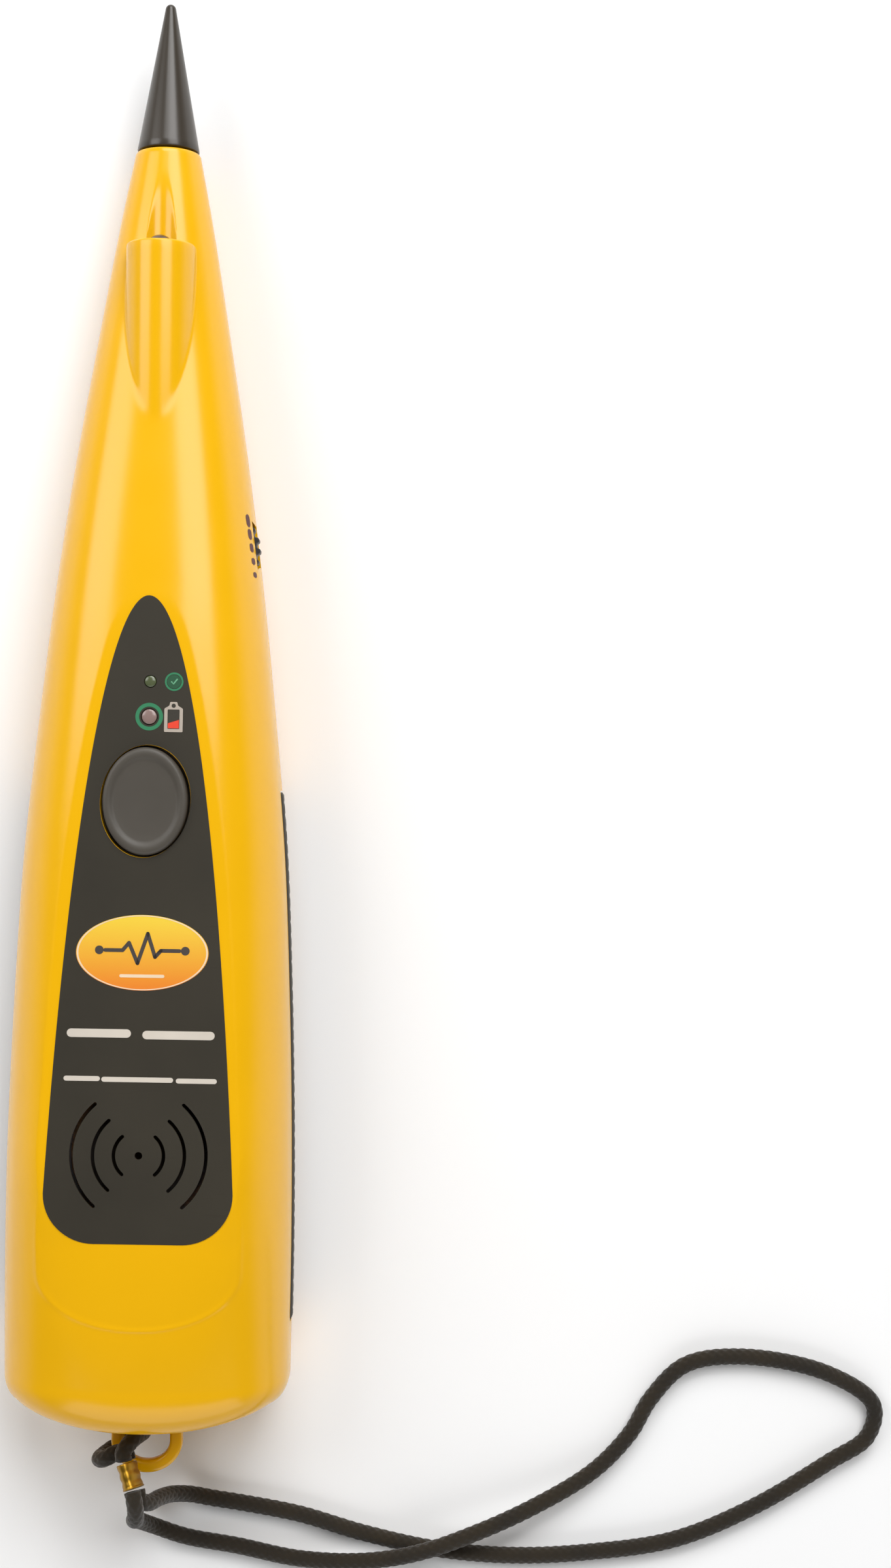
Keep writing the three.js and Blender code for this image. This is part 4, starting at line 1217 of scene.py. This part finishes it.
def catmull(route, spacing):
    """Evenly spaced points on the centripetal curve through a route."""
    points = [Vector(p) for p in route]
    points = [points[0] * 2 - points[1]] + points + [points[-1] * 2 - points[-2]]
    dense = []
    for i in range(1, len(points) - 2):
        p0, p1, p2, p3 = points[i - 1:i + 3]
        t0 = 0.0
        t1 = t0 + math.sqrt((p1 - p0).length)
        t2 = t1 + math.sqrt((p2 - p1).length)
        t3 = t2 + math.sqrt((p3 - p2).length)
        for k in range(40):
            t = t1 + (t2 - t1) * k / 40
            a1 = p0 * ((t1 - t) / (t1 - t0)) + p1 * ((t - t0) / (t1 - t0))
            a2 = p1 * ((t2 - t) / (t2 - t1)) + p2 * ((t - t1) / (t2 - t1))
            a3 = p2 * ((t3 - t) / (t3 - t2)) + p3 * ((t - t2) / (t3 - t2))
            b1 = a1 * ((t2 - t) / (t2 - t0)) + a2 * ((t - t0) / (t2 - t0))
            b2 = a2 * ((t3 - t) / (t3 - t1)) + a3 * ((t - t1) / (t3 - t1))
            dense.append(b1 * ((t2 - t) / (t2 - t1)) + b2 * ((t - t1) / (t2 - t1)))
    dense.append(points[-2])
    total = sum((b - a).length for a, b in zip(dense, dense[1:]))
    count = max(2, round(total / spacing))
    even, walked, i = [dense[0]], 0.0, 0
    for k in range(1, count):
        goal = total * k / count
        while walked + (dense[i + 1] - dense[i]).length < goal:
            walked += (dense[i + 1] - dense[i]).length
            i += 1
        step = dense[i + 1] - dense[i]
        even.append(dense[i] + step * ((goal - walked) / step.length))
    even.append(dense[-1])
    return even, total


def braided_tube(path, r, plait, sides=30, strands=6):
    """A round braid along a path: two sets of strands that cross over each other."""
    rings = []
    tangent = (path[1] - path[0]).normalized()
    normal = tangent.orthogonal().normalized()
    walked = 0.0
    for i, point in enumerate(path):
        ahead = path[min(i + 1, len(path) - 1)] - path[max(i - 1, 0)]
        new_tangent = ahead.normalized()
        normal = (normal - new_tangent * normal.dot(new_tangent)).normalized()
        other = new_tangent.cross(normal)
        if i:
            walked += (point - path[i - 1]).length
        ring = []
        for s in range(sides):
            angle = 2 * math.pi * s / sides
            phase = 2 * math.pi * walked / plait
            over = math.cos(strands * angle + phase)
            under = math.cos(strands * angle - phase)
            height = max(over, under)
            radius = r * (0.925 + 0.075 * height)
            ring.append(tuple(point + (normal * math.cos(angle) + other * math.sin(angle)) * radius))
        rings.append(ring)
    return loft(rings)


def cord_yarn():
    cord = bpy.context.scene.probe_cord
    return finish("cord_yarn", cord.yarn, 0.85, grain=5000.0, relief=0.5, depth=0.00008,
                  variation=0.35, scuffs=0.0, sheen=0.25, specular=0.3)


class PROBE_OT_cords(bpy.types.Operator):
    """Builds the braided wrist cord, the short loop through the ring and their brass ferrule"""

    bl_idname = "probe.cords"
    bl_label = "Cords and ferrule"

    def execute(self, context):
        cord = context.scene.probe_cord
        r = cord.diameter / 2 / MM
        ferrule = self.ferrule()
        for name, route, pieces in (("wrist_cord", WRIST_ROUTE, [ferrule]), ("ring_cord", RING_ROUTE, [])):
            path, length = catmull(route, 0.26)
            tube = mesh_piece(name + "_braid", braided_tube(path, r, cord.plait / MM), cord_yarn(), 180)
            settle(tube, "case", "cord", name)
        return {"FINISHED"}

    def ferrule(self):
        """A crimped oval tube with a seam along its top and a rolled lower rim."""
        along = (FERRULE_END - FERRULE_TOP).normalized()
        across = Vector((-along.y, along.x, 0)).normalized()
        upward = along.cross(across)
        length = (FERRULE_END - FERRULE_TOP).length
        sides = 72
        rings = []

        def ring(t, grow):
            crimp = 0.16 * (math.exp(-((t - 0.3) / 0.1) ** 2) + math.exp(-((t - 0.68) / 0.1) ** 2))
            points = []
            for s in range(sides):
                angle = 2 * math.pi * s / sides
                seam = 0.22 * math.exp(-((abs(angle - math.pi * 1.5)) / 0.09) ** 2) if grow > -0.2 else 0
                rx = 1.72 + grow - crimp - seam * 0.3
                rz = 3.46 + grow - crimp * 0.4 - seam
                offset = across * rx * math.cos(angle) + upward * rz * math.sin(angle)
                points.append(tuple(FERRULE_TOP + along * (t * length) + offset))
            return points

        for t, grow in ((0.012, -0.3), (0.0, -0.22), (0.0, -0.08), (0.02, 0.0)):
            rings.append(ring(t, grow))
        rings.extend(ring(0.02 + 0.9 * k / 22, 0.0) for k in range(1, 23))
        rim = ((0.935, 0.04), (0.955, 0.09), (0.975, 0.09), (0.99, 0.04), (1.0, -0.06), (1.0, -0.2),
               (0.985, -0.3))
        rings.extend(ring(t, grow) for t, grow in rim)
        brass = metal("ferrule_brass", (0.36, 0.2, 0.022), 0.38)
        piece = mesh_piece("ferrule", loft(rings), brass, 60)
        return settle(piece, "case", "brass", "cord_ferrule")


class PROBE_OT_lanyard_ring(bpy.types.Operator):
    """Builds the moulded ring at the base"""

    bl_idname = "probe.lanyard_ring"
    bl_label = "Lanyard ring"

    def execute(self, context):
        low, high = node_box("lanyard_ring")
        middle_z = (low.z + high.z) / 2
        band = 2.3
        half = 6.4 - band / 2
        depth = ARCH_Y - low.y - band / 2
        path = [(-half, high.y - 1.0 - 0.5 * k) for k in range(14)]
        for k in range(49):
            angle = math.pi + math.pi * k / 48
            path.append((half * math.cos(angle), ARCH_Y + depth * math.sin(angle)))
        path.extend((half, high.y - 1.0 - 0.5 * k) for k in reversed(range(14)))
        rings = []
        for i, (x, y) in enumerate(path):
            before, after = path[max(i - 1, 0)], path[min(i + 1, len(path) - 1)]
            along = Vector((after[0] - before[0], after[1] - before[1])).normalized()
            outward = Vector((-along.y, along.x))
            ring = []
            for s in range(32):
                angle = 2 * math.pi * s / 32
                a, b = math.cos(angle), math.sin(angle)
                wide = band / 2 * math.copysign(abs(a) ** 0.55, a)
                tall = (high.z - low.z) / 2 * math.copysign(abs(b) ** 0.55, b)
                ring.append((x + outward.x * wide, y + outward.y * wide, middle_z + tall))
            rings.append(ring)
        foot = block(-7.9, 7.9, high.y - 2.3, high.y, low.z + 0.05, high.z - 0.05)
        ring = mesh_piece("base_ring", loft(rings), yellow_plastic(), 50)
        carve(ring, [foot], "UNION", 50)
        settle(ring, "case", "yellow_abs", "lanyard_ring")
        return {"FINISHED"}


# ---- Fasteners and inner pieces ----


class PROBE_OT_screws(bpy.types.Operator):
    """Builds the six case screws with crossed slots"""

    bl_idname = "probe.screws"
    bl_label = "Case screws"

    def execute(self, context):
        steel = metal("screw_steel", (0.42, 0.42, 0.44), 0.35)
        for name in CASE_SCREWS:
            low, high = node_box(name)
            x, y = (low.x + high.x) / 2, (low.y + high.y) / 2
            seat = low.z + 1.5
            profile = [
                (0, low.z), (1.2, low.z + 0.03), (1.8, low.z + 0.2), (2.15, low.z + 0.55),
                (2.24, low.z + 0.9), (2.24, seat), (1.2, seat), (1.2, high.z - 1),
                (0.2, high.z - 0.05), (0, high.z),
            ]
            form = moved(lathe(profile, 40), Matrix.Translation((x, y, 0)))
            screw = mesh_piece(name + "_head", form, steel)
            arms = [block(x - 1.25, x + 1.25, y - 0.24, y + 0.24, low.z - 1, low.z + 0.9),
                    block(x - 0.24, x + 0.24, y - 1.25, y + 1.25, low.z - 1.1, low.z + 0.89)]
            for arm in arms:
                carve(screw, [arm])
            settle(screw, "case", "steel", name)
        return {"FINISHED"}


class PROBE_OT_inner_finishes(bpy.types.Operator):
    """Gives the pieces inside the case their finishes"""

    bl_idname = "probe.inner_finishes"
    bl_label = "Inner finishes"

    def execute(self, context):
        brass = metal("stud_brass", (0.6, 0.4, 0.13), 0.32)
        steel = metal("zinc_steel", (0.5, 0.5, 0.52), 0.36)
        copper = metal("bare_copper", (0.6, 0.28, 0.16), 0.4)
        black = black_plastic()
        board = finish("board_green", (0.015, 0.13, 0.05), 0.35, grain=900.0, variation=0.2, coat=0.3)
        paper = finish("cone_paper", (0.03, 0.027, 0.025), 0.9, grain=2400.0, relief=0.5, variation=0.2)
        foam = finish("black_foam", (0.05, 0.05, 0.055), 0.95, grain=1200.0, relief=0.8, depth=0.0002,
                      variation=0.25)
        red = finish("red_insulation", (0.45, 0.02, 0.015), 0.4, grain=2000.0)
        can = finish("battery_jacket", (0.03, 0.035, 0.05), 0.35, grain=700.0, variation=0.1, coat=0.3)
        finishes = {
            "tip_stud": brass, "tip_nut": brass, "antenna_wire": copper, "torch_lead_1": copper,
            "torch_lead_2": copper, "switch_plunger": black, "tact_switch": black, "amplifier_chip": black,
            "filter_capacitor_1": black, "filter_capacitor_2": black, "torch_collar": black,
            "volume_pot": black, "battery_snap": black, "main_board": board, "wheel_screw": steel,
            "speaker_frame": steel, "speaker_magnet": steel, "speaker_cone": paper, "speaker_gasket": foam,
            "battery_foam": foam, "speaker_lead_1": red, "speaker_lead_2": black, "battery": can,
            "battery_lead_red": red, "battery_lead_black": black,
            "board_screw_1": steel, "board_screw_2": steel, "board_screw_3": steel,
        }
        for name, material in finishes.items():
            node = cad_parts[name]
            node.data.materials.clear()
            node.data.materials.append(material)
        return {"FINISHED"}


# ---- Stage ----


class PROBE_OT_camera(bpy.types.Operator):
    """Sets the camera straight above the probe and its cord"""

    bl_idname = "probe.camera"
    bl_label = "Camera"

    def execute(self, context):
        data = bpy.data.cameras.new("camera")
        data.lens = context.scene.probe_stage.lens
        data.sensor_width = 36
        data.clip_end = 10
        camera = bpy.data.objects.new("camera", data)
        camera.location = CAMERA_PLACE
        camera.rotation_euler = (0, 0, CAMERA_TURN)
        context.scene.collection.objects.link(camera)
        context.scene.camera = camera
        return {"FINISHED"}


class PROBE_OT_stage(bpy.types.Operator):
    """Builds the pale floor and the soft studio lights"""

    bl_idname = "probe.stage"
    bl_label = "Floor and lights"

    def execute(self, context):
        settings = context.scene.probe_stage
        context.scene.view_settings.view_transform = "Standard"
        size = 1500
        floor = mesh_piece("floor", ([(-size, -size, 0), (size, -size, 0), (size, size, 0), (-size, size, 0)],
                                     [(0, 1, 2, 3)]),
                           finish("floor_paper", settings.floor, 0.9, grain=400.0, relief=0.02,
                                  variation=0.004, scuffs=0.0, specular=0.2))
        self.sky(context)
        lights = [
            ("left_softbox", (-0.56, 0.334, 0.56), (0.5, 0.46), 2.7),
            ("right_softbox", (0.29, 0.36, 0.64), (0.42, 0.48), 2.9),
            ("far_softbox", (0.3, 1.6, 1.2), (1.4, 0.9), 24.0),
            ("near_softbox", (0.1, -1.25, 0.72), (2.0, 0.9), 8.5),
        ]
        for name, place, size, power in lights:
            data = bpy.data.lights.new(name, "AREA")
            data.shape = "RECTANGLE"
            data.size, data.size_y = size
            data.energy = power
            light = bpy.data.objects.new(name, data)
            away = Vector(place).normalized()
            across = Vector((0, 1, 0)).cross(away).normalized()
            turn = Matrix((across, away.cross(across), away)).transposed().to_4x4()
            light.matrix_world = Matrix.Translation(place) @ turn
            context.scene.collection.objects.link(light)
        return {"FINISHED"}

    def sky(self, context):
        """A room that is pale near the floor and dark overhead."""
        world = bpy.data.worlds.new("studio")
        world.use_nodes = True
        tree = world.node_tree
        split = tree.nodes.new("ShaderNodeSeparateXYZ")
        tree.links.new(tree.nodes.new("ShaderNodeTexCoord").outputs["Generated"], split.inputs[0])
        height = map_range(tree, split.outputs["Z"], 0.0, 0.3, 0.0, 1.0)
        colour = mix_colours(tree, height, (0.9, 0.86, 0.84), (0.12, 0.12, 0.12))
        tree.links.new(colour, tree.nodes["Background"].inputs["Color"])
        context.scene.world = world


class PROBE_PT_panel(bpy.types.Panel):
    """Lists the probe's settings and the steps that build it"""

    bl_idname = "PROBE_PT_panel"
    bl_label = "Tone Probe"
    bl_space_type = "VIEW_3D"
    bl_region_type = "UI"
    bl_category = "Tone Probe"

    def draw(self, context):
        layout = self.layout
        for settings in (context.scene.probe_case, context.scene.probe_face,
                         context.scene.probe_cord, context.scene.probe_stage):
            box = layout.box()
            for name in settings.__annotations__:
                box.prop(settings, name)
        for step in STEPS:
            layout.operator(step.bl_idname)


SETTINGS = {
    "probe_case": CaseSettings,
    "probe_face": FaceSettings,
    "probe_cord": CordSettings,
    "probe_stage": StageSettings,
}
STEPS = [
    PROBE_OT_camera, PROBE_OT_cords, PROBE_OT_lanyard_ring, PROBE_OT_front_shell, PROBE_OT_back_shell,
    PROBE_OT_battery_door, PROBE_OT_grips, PROBE_OT_tip, PROBE_OT_label, PROBE_OT_button, PROBE_OT_lights,
    PROBE_OT_volume_wheel, PROBE_OT_screws, PROBE_OT_inner_finishes, PROBE_OT_stage,
]


def register():
    for name, settings in SETTINGS.items():
        bpy.utils.register_class(settings)
        setattr(bpy.types.Scene, name, PointerProperty(type=settings))
    for cls in (*STEPS, PROBE_PT_panel):
        bpy.utils.register_class(cls)


def unregister():
    for cls in (PROBE_PT_panel, *reversed(STEPS)):
        bpy.utils.unregister_class(cls)
    for name, settings in SETTINGS.items():
        delattr(bpy.types.Scene, name)
        bpy.utils.unregister_class(settings)


def main():
    register()
    for step in STEPS:
        group, name = step.bl_idname.split(".")
        getattr(getattr(bpy.ops, group), name)()


if __name__ == "__main__":
    main()
